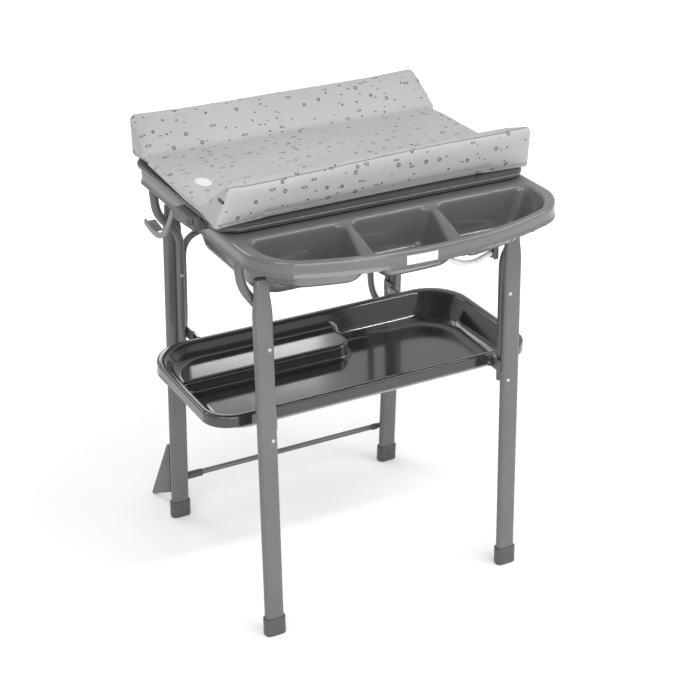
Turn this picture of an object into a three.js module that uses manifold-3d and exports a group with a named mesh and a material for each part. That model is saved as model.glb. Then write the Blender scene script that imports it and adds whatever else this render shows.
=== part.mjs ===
import * as THREE from "three";
import * as BufferGeometryUtils from "three/addons/utils/BufferGeometryUtils.js";
import Module from "manifold-3d";

// Folding changing table with a bathtub.
// Millimetres. +X to the right, +Y to the back, +Z up.
// The origin is on the floor, under the middle of the overall box.

const wasm = await Module();
wasm.setup();

// Clearances and cutting overrun
const touch_gap = 0.3;
const pin_play = 0.4;
const slide_gap = 1;
const overrun = 20;
const fine_sides = 24;
const round_sides = 20;
const pin_sides = 16;
const head_sides = 12;
const shank_sides = 8;

// Shift that puts the origin under the middle of the overall box
const centre_shift = 13;

// Steps and sides of the round work
const tube_sides = 12;
const bend_steps = 4;
const bend_limit_share = 0.45;

// Heights of the main levels
const rim_height = 944;
const pivot_height = 924;
const tray_rim_height = 529;
const tray_pivot_drop = 10;
const tray_pivot_height = tray_rim_height - tray_pivot_drop;

// Bathtub moulding
const tub_wall = 3;
const tub_half_length = 363;
const tub_front_reach = 417;
const tub_back_reach = 300;
const tub_bow_radius = 779;
const tub_bow_degrees = 21.9;
const bow_steps = 12;
const tub_front_corner = 70;
const tub_back_corner = 40;
const skirt_depth = 35;
const skirt_flange = 3;
const skirt_flange_height = 5;
const rim_roll = 5;
const rim_roll_height = 6;

// Basin under the changing top
const basin_half_length = 297;
const basin_front_reach = 134;
const basin_back_reach = 247;
const basin_depth = 193;
const basin_corner = 62;
const basin_side_draft = 62;
const basin_front_draft = 36;
const basin_back_draft = 42;
const basin_bead_width = 9;
const basin_bead_height = 2;
const drain_radius = 17;
const drain_x = 120;
const drain_y = 40;

// Accessory compartments in front of the basin
const pod_front_margin = 14;
const pod_back_reach = 217;
const pod_side_margin = 33;
const pod_depth = 91;
const pod_corner = 20;
const pod_outer_corner = 55;
const pod_front_draft = 84;
const pod_side_draft = 22;
const pod_end_draft = 34;
const pod_back_draft = 1;
const pod_end_ease_share = 0.25;
const divider_width = 14;
const divider_left_x = 108;
const divider_right_x = 96;
const crest_drop = 64;

// Legs
const leg_width = 44;
const leg_depth = 22;
const leg_edge_radius = 10;
const leg_top_drop = 99;
const leg_top_height = rim_height - leg_top_drop;
const leg_neck_height = 784;
const leg_neck_width = 34;
const leg_neck_depth = 18;
const front_leg_x = 304;
const front_foot_reach = 246.6;
const front_lean = 0.0314;
const rear_leg_x = 294;
const rear_foot_reach = 311.9;
const rear_lean = 0.047;
const sole_thickness = 4;

// Foot caps
const cap_width = 51;
const cap_depth = 29;
const cap_height = 44;
const cap_collar_height = 7;
const cap_collar_inset = 1.5;

// Bent tubes between the legs and the tub's side rails
const tube_radius = 10;
const tube_inset = 9;
const tube_rail_x = 345;
const tube_foot_drop = 43;
const tube_foot_height = tray_pivot_height - tube_foot_drop;
const bend_start_height = 775;
const bend_end_height = 835;
const bend_run = 24;
const rail_bend_height = 889;
const rail_lean = 7;
const tube_head = 11;

// Pivots of the folding frame
const pin_radius = 4;
const ear_thickness = 4;
const ear_half_width = 13;
const ear_drop = 12;
const bracket_thickness = 3;
const bracket_half_height = 14;
const lug_thickness = 6;
const lug_half_height = 11;
const rear_notch_width = 40;
const rear_notch_height = 24;

// Rivets through the legs and the bent tubes
const rivet_radius = 4.5;
const rivet_shank = 2;
const rivet_dome = 1.8;
const rivet_foot_gap = 11;
const rivet_low_height = tube_foot_height + rivet_foot_gap;
const front_rivet_height = 699;
const rear_rivet_height = 675;

// Rear brace, a bent tube behind the rear legs
const brace_radius = 8;
const brace_half_width = 252;
const brace_foot_height = 414;
const brace_top_height = 748;
const brace_bend = 60;
const brace_standoff = 40;
const brace_foot_x = 288;
const brace_heel_height = 440;
const brace_knee_height = 487;

// Cross rod, its sleeve and collar, and the stand fin
const rod_radius = 5.5;
const rod_height = 98;
const sleeve_radius = 9.5;
const sleeve_length = 44;
const collar_radius = 8;
const collar_length = 14;
const fin_thickness = 9;
const fin_reach = 123;
const fin_height = 200;
const fin_toe = 9;
const fin_low_height = 66;
const fin_inset = 1;
const fin_rib = 12;

// Storage tray
const tray_wall = 3;
const tray_half_length = 404;
const tray_front_reach = 178;
const tray_back_reach = 213;
const tray_front_corner = 62;
const tray_back_corner = 100;
const tray_flange = 15;
const tray_skirt = 24;
const tray_depth = 66;
const tray_draft = 46;
const tray_notch_width = 34;
const platform_rise = 34;
const platform_right_x = 68;
const platform_front_y = 72;
const platform_corner = 40;

// Changing board, mat and their hinge
const board_half_length = 372;
const board_front_reach = 184;
const board_back_reach = 316;
const board_corner = 60;
const board_thickness = 11;
const board_edge_radius = 4;
const mat_half_length = 380;
const mat_front_reach = 163;
const mat_back_reach = 329;
const mat_base_height = 18;
const mat_height = 98;
const mat_front_slope = 81;
const mat_back_slope = 95;
const mat_ridge = 9;
const mat_draw_in = 4;
const mat_back_draw = 19;
const mat_crown = 5;
const mat_hip = 30;
const hinge_x = 210;
const hinge_leaf_length = 60;
const hinge_radius = 5;
const hinge_behind = 8;
const hinge_leaf_thickness = 2.5;
const hinge_knuckles = 3;
const hinge_drop = 19;
const hinge_pin_radius = 2;

// Fold latches on the side rails
const latch_front_y = -88;
const latch_length = 120;
const latch_width = 27;
const latch_height = 24;
const latch_top_gap = 6;
const latch_pivot_drop = 16;
const barrel_radius = 7;
const barrel_pin_radius = 3;
const barrel_grip_radius = 9;
const barrel_grip_length = 12;
const barrel_housing = 16;
const lever_plate = 4;
const lever_width = 13;
const lever_web = 26;
const lever_drop = 92;
const lever_back = 62;
const lever_tip = 163;
const lever_pin_radius = 3;
const lever_shares = [0.6, 0.6, 1.18, 0.85, 0.16];

// Drain plug, spigot and hose
const plug_radius = 15;
const plug_flange = 20;
const plug_knob_radius = 6;
const plug_knob_height = 12;
const spigot_radius = 8;
const spigot_x = 120;
const spigot_drop = 138;
const spigot_front_reach = 150;
const spigot_length = 45;
const hose_radius = 6.5;
const hose_play = 1.5;
const hose_steps = 14;
const clip_low_x = 262;
const clip_width = 12;
const clip_thickness = 2.5;
const clip_hold_y = -200;
const clip_hold_drop = 154;

// The hose's route from the spigot to its clip, as [x, y, drop below the rim]
const hose_route = [
  [120, -151, 138],
  [120, -166, 138],
  [128, -184, 140],
  [150, -198, 145],
  [190, -200, 163],
  [222, -200, 166],
  [248, -200, 158],
  [262, -200, 154],
  [276, -200, 153],
];

const degrees = Math.PI / 180;
const tiny = 1e-9;

// Finishes
const finishes = {
  frame: new THREE.MeshStandardMaterial({ color: 0x5c5d60, roughness: 0.42, metalness: 0.35 }),
  tub: new THREE.MeshStandardMaterial({ color: 0x626366, roughness: 0.3, metalness: 0 }),
  tray: new THREE.MeshStandardMaterial({ color: 0x4a4b4e, roughness: 0.18, metalness: 0 }),
  cap: new THREE.MeshStandardMaterial({ color: 0x55565a, roughness: 0.55, metalness: 0 }),
  mat: new THREE.MeshStandardMaterial({ color: 0xb9babb, roughness: 0.5, metalness: 0 }),
  board: new THREE.MeshStandardMaterial({ color: 0x57585b, roughness: 0.35, metalness: 0 }),
  lever: new THREE.MeshStandardMaterial({ color: 0x77787b, roughness: 0.5, metalness: 0 }),
  steel: new THREE.MeshStandardMaterial({ color: 0xb5b6b8, roughness: 0.3, metalness: 0.9 }),
  hose: new THREE.MeshStandardMaterial({ color: 0xe4e4e2, roughness: 0.35, metalness: 0 }),
};

const table = new THREE.Group();

// A closed three.js geometry as a manifold solid
function solid(geometry) {
  const bare = geometry.index ? geometry.toNonIndexed() : geometry.clone();
  bare.deleteAttribute("normal");
  bare.deleteAttribute("uv");
  const merged = BufferGeometryUtils.mergeVertices(bare, 1e-4);
  const corners = merged.index.array;
  const kept = [];
  for (let i = 0; i < corners.length; i += 3) {
    const [a, b, c] = [corners[i], corners[i + 1], corners[i + 2]];
    if (a !== b && b !== c && c !== a) kept.push(a, b, c);
  }
  const places = merged.attributes.position;
  const corner = (i) => new THREE.Vector3().fromBufferAttribute(places, kept[i]);
  let volume = 0;
  for (let i = 0; i < kept.length; i += 3) volume += corner(i).dot(corner(i + 1).cross(corner(i + 2)));
  if (volume < 0) kept.reverse();
  return new wasm.Manifold(new wasm.Mesh({
    numProp: 3,
    vertProperties: new Float32Array(places.array),
    triVerts: new Uint32Array(kept),
  }));
}

// A manifold solid as a named mesh of the table
function piece(name, body, finish) {
  const mesh = body.translate([0, -centre_shift, 0]).getMesh();
  const geometry = new THREE.BufferGeometry();
  geometry.setAttribute("position", new THREE.BufferAttribute(new Float32Array(mesh.vertProperties), 3));
  geometry.setIndex(Array.from(mesh.triVerts));
  geometry.computeVertexNormals();
  const part = new THREE.Mesh(geometry, finish.clone());
  part.name = name;
  table.add(part);
  return part;
}

// Joins a list of solids into one
function joined(bodies) {
  return bodies.reduce((sum, body) => sum.add(body));
}

// Cuts a list of solids out of a body
function cut(body, cutters) {
  return cutters.reduce((rest, cutter) => rest.subtract(cutter), body);
}

// The mirror image of a solid across the middle plane of the table
function mirrored(body) {
  return body.mirror([1, 0, 0]);
}

// A closed outline from corners [x, y, radius], each rounded by the same number of steps
function roundedOutline(corners, steps = 4) {
  const points = [];
  corners.forEach(([x, y, radius, own_steps], index) => {
    const [bx, by] = corners[(index + corners.length - 1) % corners.length];
    const [ax, ay] = corners[(index + 1) % corners.length];
    const here = new THREE.Vector2(x, y);
    if (radius === 0) {
      points.push(here);
      return;
    }
    const back = new THREE.Vector2(bx, by).sub(here).normalize();
    const ahead = new THREE.Vector2(ax, ay).sub(here).normalize();
    const half = Math.acos(THREE.MathUtils.clamp(back.dot(ahead), -1, 1)) / 2;
    const centre = back.clone().add(ahead).normalize().multiplyScalar(radius / Math.sin(half)).add(here);
    const from = back.multiplyScalar(radius / Math.tan(half)).add(here).sub(centre);
    const to = ahead.multiplyScalar(radius / Math.tan(half)).add(here).sub(centre);
    const start = Math.atan2(from.y, from.x);
    let sweep = Math.atan2(to.y, to.x) - start;
    if (sweep > Math.PI) sweep -= 2 * Math.PI;
    if (sweep < -Math.PI) sweep += 2 * Math.PI;
    const count = own_steps ?? steps;
    for (let i = 0; i <= count; i += 1) {
      const angle = start + (sweep * i) / count;
      points.push(new THREE.Vector2(centre.x + radius * Math.cos(angle), centre.y + radius * Math.sin(angle)));
    }
  });
  return points;
}

// Rings of equal point count, from the lowest up, joined into a closed skin
function loft(rings) {
  const count = rings[0].length;
  const positions = [];
  const triangle = (a, b, c) => positions.push(...a.toArray(), ...b.toArray(), ...c.toArray());
  for (let level = 1; level < rings.length; level += 1) {
    const [low, high] = [rings[level - 1], rings[level]];
    for (let i = 0; i < count; i += 1) {
      const next = (i + 1) % count;
      triangle(low[i], low[next], high[next]);
      triangle(low[i], high[next], high[i]);
    }
  }
  for (const [ring, turned] of [[rings[0], true], [rings[rings.length - 1], false]]) {
    for (const [a, b, c] of capFaces(capPlane(ring))) {
      if (turned) triangle(ring[a], ring[c], ring[b]);
      else triangle(ring[a], ring[b], ring[c]);
    }
  }
  const geometry = new THREE.BufferGeometry();
  geometry.setAttribute("position", new THREE.Float32BufferAttribute(positions, 3));
  return solid(geometry);
}

// Faces of a flat outline, ear by ear, that use every one of its points
function capFaces(flat) {
  const left = flat.map((_, index) => index);
  const faces = [];
  const turn = (a, b, c) => (b.x - a.x) * (c.y - a.y) - (b.y - a.y) * (c.x - a.x);
  const isEar = (a, b, c) => {
    const [pa, pb, pc] = [flat[a], flat[b], flat[c]];
    if (turn(pa, pb, pc) <= tiny) return false;
    return !left.some((k) => {
      if (k === a || k === b || k === c) return false;
      const p = flat[k];
      return turn(pa, pb, p) >= -tiny && turn(pb, pc, p) >= -tiny && turn(pc, pa, p) >= -tiny;
    });
  };
  while (left.length > 3) {
    const count = left.length;
    const cornerAt = (i) => [left[(i + count - 1) % count], left[i], left[(i + 1) % count]];
    const found = left.findIndex((_, i) => isEar(...cornerAt(i)));
    const ear = Math.max(found, 0);
    faces.push(cornerAt(ear));
    left.splice(ear, 1);
  }
  faces.push(left);
  return faces;
}

// A ring's points in the plane that it lies nearest to
function capPlane(ring) {
  const box = new THREE.Box3().setFromPoints(ring);
  const size = box.getSize(new THREE.Vector3());
  if (size.x <= size.y && size.x <= size.z) return ring.map((p) => new THREE.Vector2(p.y, p.z));
  if (size.y <= size.x && size.y <= size.z) return ring.map((p) => new THREE.Vector2(p.z, p.x));
  return ring.map((p) => new THREE.Vector2(p.x, p.y));
}

// An outline lifted to a height
function ringAt(outline, z) {
  return outline.map((p) => new THREE.Vector3(p.x, p.y, z));
}

// An upright prism of an outline between two heights
function prism(outline, low, high) {
  return loft([ringAt(outline, low), ringAt(outline, high)]);
}

// An outline in Y and Z drawn out along X
function sideways(outline, from_x, to_x) {
  const at = (x) => outline.map((p) => new THREE.Vector3(x, p.x, p.y));
  return loft([at(from_x), at(to_x)]);
}

// A rectangular block between two corners
function block(low, high) {
  const size = high.map((value, axis) => value - low[axis]);
  const box = new THREE.BoxGeometry(...size);
  box.translate(...low.map((value, axis) => value + size[axis] / 2));
  return solid(box);
}

// A round bar along an axis, from one point over a length
function bar(axis, [x, y, z], radius, length, sides = round_sides) {
  const shape = new THREE.CylinderGeometry(radius, radius, length, sides);
  shape.translate(0, length / 2, 0);
  if (axis === "x") shape.rotateZ(-Math.PI / 2);
  if (axis === "z") shape.rotateX(Math.PI / 2);
  shape.translate(x, y, z);
  return solid(shape);
}

// A turned shape about Z from a profile of [radius, height] that starts and ends on the axis
function turned(profile, sides = fine_sides) {
  const shape = new THREE.LatheGeometry(profile.map(([r, z]) => new THREE.Vector2(r, z)), sides);
  shape.rotateX(Math.PI / 2);
  return solid(shape);
}

// A route whose stations are met one by one, so straight runs take a single step
class StationPath extends THREE.Curve {
  constructor(stations) {
    super();
    this.stations = stations;
  }

  getPoint(t, target = new THREE.Vector3()) {
    const place = t * (this.stations.length - 1);
    const index = Math.min(Math.floor(place + 1e-9), this.stations.length - 2);
    return target.lerpVectors(this.stations[index], this.stations[index + 1], place - index);
  }

  getPointAt(u, target) {
    return this.getPoint(u, target);
  }

  getTangentAt(u, target = new THREE.Vector3()) {
    const index = Math.round(u * (this.stations.length - 1));
    const before = this.stations[Math.max(index - 1, 0)];
    const after = this.stations[Math.min(index + 1, this.stations.length - 1)];
    return target.subVectors(after, before).normalize();
  }
}

// Stations along straight runs with rounded bends between them
function bentRoute(knots, run, steps = bend_steps) {
  const stations = [knots[0].clone()];
  const reachTo = (a, b) => Math.min(run, a.distanceTo(b) * bend_limit_share);
  for (let i = 1; i < knots.length - 1; i += 1) {
    const [before, here, after] = [knots[i - 1], knots[i], knots[i + 1]];
    const into = before.clone().sub(here).setLength(reachTo(before, here)).add(here);
    const out = after.clone().sub(here).setLength(reachTo(after, here)).add(here);
    const bend = new THREE.QuadraticBezierCurve3(into, here, out);
    stations.push(...bend.getPoints(steps));
  }
  stations.push(knots[knots.length - 1].clone());
  return stations;
}

// A round tube along a route
function tube(stations, radius, sides = tube_sides) {
  const section = new THREE.Shape();
  for (let i = 0; i < sides; i += 1) {
    const angle = (2 * Math.PI * i) / sides;
    const place = [radius * Math.cos(angle), radius * Math.sin(angle)];
    if (i === 0) section.moveTo(...place);
    else section.lineTo(...place);
  }
  section.closePath();
  const options = { steps: stations.length - 1, bevelEnabled: false, extrudePath: new StationPath(stations) };
  return solid(new THREE.ExtrudeGeometry(section, options));
}

// Depth of the legs' leaning planes
const frontLegY = (z) => -front_foot_reach + front_lean * z;
const rearLegY = (z) => rear_foot_reach - rear_lean * z;
const tube_offset = leg_depth / 2 + tube_radius;
const frontTubeY = (z) => frontLegY(z) + tube_offset + touch_gap;
const rearTubeY = (z) => rearLegY(z) - tube_offset - touch_gap;
const front_rivets_z = [rivet_low_height, front_rivet_height];
const rear_rivets_z = [rivet_low_height, rear_rivet_height];
const front_pivot_y = frontTubeY(pivot_height);
const rear_pivot_y = rearTubeY(pivot_height);

// The bowed plan outline of the tub, drawn in by an inset
function bowedCorners({ half, front, back, corner, back_corner, radius }, inset) {
  const bow = tub_bow_degrees * degrees;
  const tip = -front - radius * (1 / Math.cos(bow) - 1) + inset / Math.cos(bow);
  const side = half - inset;
  const shoulder = tip + side * Math.tan(bow);
  return [
    [0, tip, radius - inset, bow_steps],
    [side, shoulder, corner - inset],
    [side, back - inset, back_corner - inset],
    [-side, back - inset, back_corner - inset],
    [-side, shoulder, corner - inset],
  ];
}

const tub_plan = {
  half: tub_half_length,
  front: tub_front_reach,
  back: tub_back_reach,
  corner: tub_front_corner,
  back_corner: tub_back_corner,
  radius: tub_bow_radius,
};

// The bow's depth at a place along the tub, for the front of the compartments
function podFrontY(x) {
  const radius = tub_bow_radius - pod_front_margin;
  const bow = tub_bow_degrees * degrees;
  const arc_end = radius * Math.sin(bow);
  const apex = -tub_front_reach + pod_front_margin;
  const reach = Math.min(Math.abs(x), arc_end);
  const along_arc = apex + radius - Math.sqrt(radius * radius - reach * reach);
  return along_arc + Math.max(Math.abs(x) - arc_end, 0) * Math.tan(bow);
}

// Share of the depth, then share of the draft, of a moulded hollow's rings
const pod_level_shares = [[0, 0], [0.3, 0.2], [0.62, 0.47], [0.85, 0.7], [0.96, 0.86], [1, 1]];
const basin_level_shares = [[0, 0], [0.12, 0.14], [0.5, 0.42], [0.8, 0.62], [0.93, 0.78], [1, 1]];

// One compartment's outline at a share of its draft
function podOutline(left, right, draft_share, grow) {
  const outer_left = left < -tub_half_length / 2;
  const outer_right = right > tub_half_length / 2;
  const low_x = left + (outer_left ? pod_end_draft : pod_side_draft) * draft_share - grow;
  const high_x = right - (outer_right ? pod_end_draft : pod_side_draft) * draft_share + grow;
  const back_y = -pod_back_reach - pod_back_draft * draft_share + grow;
  const frontAt = (x) => {
    const along_share = Math.abs(x) / tub_half_length;
    const draft = pod_front_draft * (1 - pod_end_ease_share * along_share * along_share);
    return podFrontY(x) + draft * draft_share - grow;
  };
  const middle = (low_x + high_x) / 2;
  const corner = pod_corner * (1 - draft_share / 2) + grow;
  const end_corner = pod_outer_corner + (pod_corner - pod_outer_corner) * draft_share + grow;
  return roundedOutline([
    [low_x, back_y, corner],
    [low_x, frontAt(low_x), outer_left ? end_corner : corner],
    [middle, frontAt(middle), 0],
    [high_x, frontAt(high_x), outer_right ? end_corner : corner],
    [high_x, back_y, corner],
  ]);
}

function podHollow(left, right, grow, top) {
  const rings = pod_level_shares.map(([depth_share, draft_share]) => {
    const z = rim_height - pod_depth * depth_share - grow;
    return ringAt(podOutline(left, right, draft_share, grow), z);
  });
  rings.unshift(ringAt(podOutline(left, right, 0, grow), top));
  return loft(rings.reverse());
}

function basinOutline(draft_share, grow) {
  const side = basin_half_length - basin_side_draft * draft_share + grow;
  const front = -basin_front_reach + basin_front_draft * draft_share - grow;
  const back = basin_back_reach - basin_back_draft * draft_share + grow;
  const corner = basin_corner + grow;
  return roundedOutline([
    [-side, front, corner],
    [side, front, corner],
    [side, back, corner],
    [-side, back, corner],
  ], 6);
}

function basinHollow(grow, top) {
  const rings = basin_level_shares.map(([depth_share, draft_share]) => {
    return ringAt(basinOutline(draft_share, grow), rim_height - basin_depth * depth_share - grow);
  });
  rings.unshift(ringAt(basinOutline(0, grow), top));
  return loft(rings.reverse());
}

// Share of the compartments' reach, then share of the crest's drop, along a divider's top
const crest_shares = [[0, 0.05], [0.1, 0.09], [0.2, 0.19], [0.36, 0.41], [0.5, 0.62], [1, 1.35]];

// The space over both dividers, inside the compartments' common walls, with a floor that falls to the front
function crestSpace(half, grow, top) {
  const common = podHollow(-half, half, grow, top);
  const reach = tub_front_reach - pod_back_reach;
  const crest = crest_shares.map(([reach_share, drop_share]) => {
    return new THREE.Vector2(-pod_back_reach - reach * reach_share, rim_height - crest_drop * drop_share - grow);
  });
  const back = -pod_back_reach + overrun;
  const front = -tub_front_reach - overrun;
  const side_view = [
    new THREE.Vector2(back, crest[0].y),
    ...crest,
    new THREE.Vector2(front, crest[crest.length - 1].y),
    new THREE.Vector2(front, rim_height + overrun * 2),
    new THREE.Vector2(back, rim_height + overrun * 2),
  ].reverse();
  const wedge = sideways(side_view, -tub_half_length - overrun, tub_half_length + overrun);
  return common.intersect(wedge);
}

// Bathtub with its rim, skirt, basin, compartments and pivot ears
function makeTub() {
  const outlineAt = (inset) => roundedOutline(bowedCorners(tub_plan, inset));
  const skirt_low = rim_height - skirt_depth;
  const shell = loft([
    ringAt(outlineAt(-skirt_flange), skirt_low),
    ringAt(outlineAt(-skirt_flange), skirt_low + skirt_flange_height),
    ringAt(outlineAt(0), skirt_low + skirt_flange_height + skirt_flange),
    ringAt(outlineAt(0), rim_height - rim_roll_height),
    ringAt(outlineAt(rim_roll / 3), rim_height - rim_roll_height / 4),
    ringAt(outlineAt(rim_roll), rim_height),
  ]);
  const under = prism(outlineAt(tub_wall), skirt_low - overrun, rim_height - tub_wall);
  const half = tub_half_length - pod_side_margin;
  const half_divider = divider_width / 2;
  const spans = [
    [-half, -divider_left_x - half_divider],
    [-divider_left_x + half_divider, divider_right_x - half_divider],
    [divider_right_x + half_divider, half],
  ];
  const plate_middle = rim_height - tub_wall / 2;
  const body = joined([
    cut(shell, [under]),
    basinHollow(tub_wall, plate_middle),
    crestSpace(half, tub_wall, plate_middle),
    ...spans.map(([left, right]) => podHollow(left, right, tub_wall, plate_middle)),
    makeBasinBead(),
    bar("y", [spigot_x, -spigot_front_reach, rim_height - spigot_drop], spigot_radius, spigot_length, pin_sides),
    ...pivotEars(),
  ]);
  const hollows = [
    basinHollow(0, rim_height + overrun),
    crestSpace(half, 0, rim_height + overrun),
    ...spans.map(([left, right]) => podHollow(left, right, 0, rim_height + overrun)),
    bar("z", [drain_x, drain_y, rim_height - basin_depth - overrun], drain_radius, overrun * 2, fine_sides),
    ...pivotPinHoles(),
    ...rearNotches(),
  ];
  return cut(body, hollows);
}

// Raised bead round the basin's mouth
function makeBasinBead() {
  const outer = prism(basinOutline(0, basin_bead_width), rim_height - tub_wall / 2, rim_height + basin_bead_height);
  return outer;
}

// Two ears on each side of every bent tube's head, under the rail
function pivotEars() {
  const ears = [];
  for (const side of [-1, 1]) {
    for (const y of [front_pivot_y, rear_pivot_y]) {
      for (const face of [-1, 1]) {
        const inner = side * tube_rail_x + face * (tube_radius + slide_gap);
        const outer = inner + face * ear_thickness;
        const low = [Math.min(inner, outer), y - ear_half_width, pivot_height - ear_drop];
        const high = [Math.max(inner, outer), y + ear_half_width, rim_height - tub_wall / 2];
        ears.push(block(low, high));
      }
    }
  }
  return ears;
}

const pin_half_length = tube_radius + slide_gap * 2 + ear_thickness;

function pivotPin(side, y, radius, half_length) {
  return bar("x", [side * tube_rail_x - half_length, y, pivot_height], radius, half_length * 2);
}

function pivotPinHoles() {
  const holes = [];
  for (const side of [-1, 1]) {
    for (const y of [front_pivot_y, rear_pivot_y]) {
      holes.push(pivotPin(side, y, pin_radius + pin_play, pin_half_length + slide_gap));
    }
  }
  return holes;
}

// Slots in the back skirt that the rear tubes swing through
function rearNotches() {
  return [-1, 1].map((side) => {
    const middle = side * tube_rail_x;
    const low_z = rim_height - skirt_depth - overrun;
    const low = [middle - rear_notch_width / 2, tub_back_reach - tub_wall * 3, low_z];
    const high = [middle + rear_notch_width / 2, tub_back_reach + overrun, low_z + overrun + rear_notch_height];
    return block(low, high);
  });
}

// A leg's flat-oval outline, centred on a place
function ovalOutline(width, depth, radius, centre_x, centre_y) {
  const [w, d] = [width / 2, depth / 2];
  return roundedOutline([
    [centre_x - w, centre_y - d, radius],
    [centre_x + w, centre_y - d, radius],
    [centre_x + w, centre_y + d, radius],
    [centre_x - w, centre_y + d, radius],
  ], 3);
}

// One leg on the right, on its leaning plane, with its rivet holes
function makeLeg(x, depthAt) {
  const full = (z) => ringAt(ovalOutline(leg_width, leg_depth, leg_edge_radius, x, depthAt(z)), z);
  const neck_radius = leg_neck_depth / 2 - slide_gap;
  const neck = (z) => ringAt(ovalOutline(leg_neck_width, leg_neck_depth, neck_radius, x, depthAt(z)), z);
  return loft([full(sole_thickness), full(leg_neck_height), neck(leg_top_height)]);
}

// One bent tube on the right, from its foot up into the rail
function makeBentTube(x, depthAt) {
  const at = (px, z) => new THREE.Vector3(px, depthAt(z), z);
  const knots = [
    at(x, tube_foot_height),
    at(x, bend_start_height),
    at(tube_rail_x - rail_lean, bend_end_height),
    at(tube_rail_x, rail_bend_height),
    at(tube_rail_x, pivot_height + tube_head),
  ];
  return tube(bentRoute(knots, bend_run), tube_radius);
}

// One rivet with a domed head on its front face and its shank through leg and tube
function makeRivet(x, z, faceAt) {
  const face_y = faceAt(z) - touch_gap;
  const profile = [[0, 0], [rivet_radius, 0], [rivet_radius, rivet_dome / 3], [rivet_radius / 2, rivet_dome], [0, rivet_dome]];
  const head = turned(profile, head_sides).rotate([90, 0, 0]).translate([x, face_y, z]);
  const length = leg_depth + tube_radius * 2 + touch_gap * 2;
  return head.add(bar("y", [x, face_y - touch_gap, z], rivet_shank, length, shank_sides));
}

function rivetHoles(x, heights, legAt) {
  return heights.map((z) => {
    const reach = leg_depth + tube_radius * 2 + overrun;
    return bar("y", [x, legAt(z) - reach, z], rivet_shank + touch_gap, reach * 2, shank_sides);
  });
}

// Foot cap with a pocket for the leg and a collar at its mouth
function makeFootCap(x, depthAt) {
  const ring = (width, depth, z) => ringAt(ovalOutline(width, depth, leg_edge_radius, x, depthAt(z)), z);
  const collar_low = cap_height - cap_collar_height;
  const slim_width = cap_width - cap_collar_inset * 2;
  const slim_depth = cap_depth - cap_collar_inset * 2;
  const shell = loft([
    ring(slim_width, slim_depth, 0),
    ring(cap_width, cap_depth, cap_collar_inset),
    ring(slim_width, slim_depth, collar_low),
    ring(cap_width, cap_depth, collar_low + cap_collar_inset),
    ring(cap_width, cap_depth, cap_height - cap_collar_inset),
    ring(slim_width, slim_depth, cap_height),
  ]);
  const play = touch_gap * 2;
  const pocket_ring = (z) => ring(leg_width + play, leg_depth + play, z);
  const pocket = loft([pocket_ring(sole_thickness - touch_gap), pocket_ring(cap_height + overrun)]);
  return cut(shell, [pocket]);
}

// Storage tray
const tray_plan = (inset, low_inset_share) => {
  const side = tray_half_length - inset;
  const front = -tray_front_reach + inset;
  const back = tray_back_reach - inset;
  const keep = inset * low_inset_share;
  return roundedOutline([
    [-side, front, tray_front_corner - keep],
    [side, front, tray_front_corner - keep],
    [side, back, tray_back_corner - keep],
    [-side, back, tray_back_corner - keep],
  ], 7);
};

const tray_level_shares = [[0, 0], [0.3, 0.22], [0.7, 0.5], [0.92, 0.76], [1, 1]];

function trayHollow(grow, top) {
  const rings = tray_level_shares.map(([depth_share, draft_share]) => {
    const inset = tray_flange + tray_draft * draft_share - grow;
    return ringAt(tray_plan(inset, 0.6), tray_rim_height - tray_depth * depth_share - grow);
  });
  rings.unshift(ringAt(tray_plan(tray_flange - grow, 0.6), top));
  return loft(rings.reverse());
}

// The raised platform at the tray's back left, kept out of the tray's hollow
function trayPlatform() {
  const outline = roundedOutline([
    [-tray_half_length - overrun, platform_front_y, platform_corner],
    [platform_right_x, platform_front_y, platform_corner],
    [platform_right_x, tray_back_reach + overrun, platform_corner],
    [-tray_half_length - overrun, tray_back_reach + overrun, platform_corner],
  ]);
  const floor = tray_rim_height - tray_depth;
  return prism(outline, floor - overrun, floor + platform_rise);
}

function makeTray() {
  const low = tray_rim_height - tray_skirt;
  const shell = loft([
    ringAt(tray_plan(0, 1), low),
    ringAt(tray_plan(0, 1), tray_rim_height - tray_wall),
    ringAt(tray_plan(tray_wall / 2, 1), tray_rim_height),
  ]);
  const under = prism(tray_plan(tray_wall, 1), low - overrun, tray_rim_height - tray_wall);
  const body = joined([
    cut(shell, [under]),
    trayHollow(tray_wall, tray_rim_height - tray_wall / 2),
    ...trayLugs(),
  ]);
  const open = cut(trayHollow(0, tray_rim_height + overrun), [trayPlatform()]);
  return cut(body, [open, ...trayNotches(), ...trayPinHoles()]);
}

// Lugs on the tray that reach to the frame's brackets
const front_lug_x = front_leg_x - leg_width / 2 - bracket_thickness - touch_gap - slide_gap;
const rear_lug_x = rear_leg_x - leg_width / 2 - bracket_thickness - touch_gap - slide_gap;

function trayLugs() {
  const low_z = tray_pivot_height - lug_half_height;
  const high_z = tray_rim_height - tray_wall / 2;
  const front = block(
    [front_lug_x - lug_thickness, front_pivot_y - lug_half_height, low_z],
    [front_lug_x, -tray_front_reach + tray_wall / 2, high_z],
  );
  const rear = block(
    [rear_lug_x - lug_thickness, tray_back_reach - tray_wall / 2, low_z],
    [rear_lug_x, rear_pivot_y + lug_half_height, high_z],
  );
  return [front, rear, mirrored(front), mirrored(rear)];
}

const tray_pin_length = lug_thickness + bracket_thickness + slide_gap * 3;

function trayPin(x, y, radius, spare) {
  const inner = x - lug_thickness - slide_gap - spare;
  return bar("x", [inner, y, tray_pivot_height], radius, tray_pin_length + spare * 2, pin_sides);
}

function trayPinHoles() {
  const front = trayPin(front_lug_x, front_pivot_y, pin_radius + pin_play, slide_gap);
  const rear = trayPin(rear_lug_x, rear_pivot_y, pin_radius + pin_play, slide_gap);
  return [front, rear, mirrored(front), mirrored(rear)];
}

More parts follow.
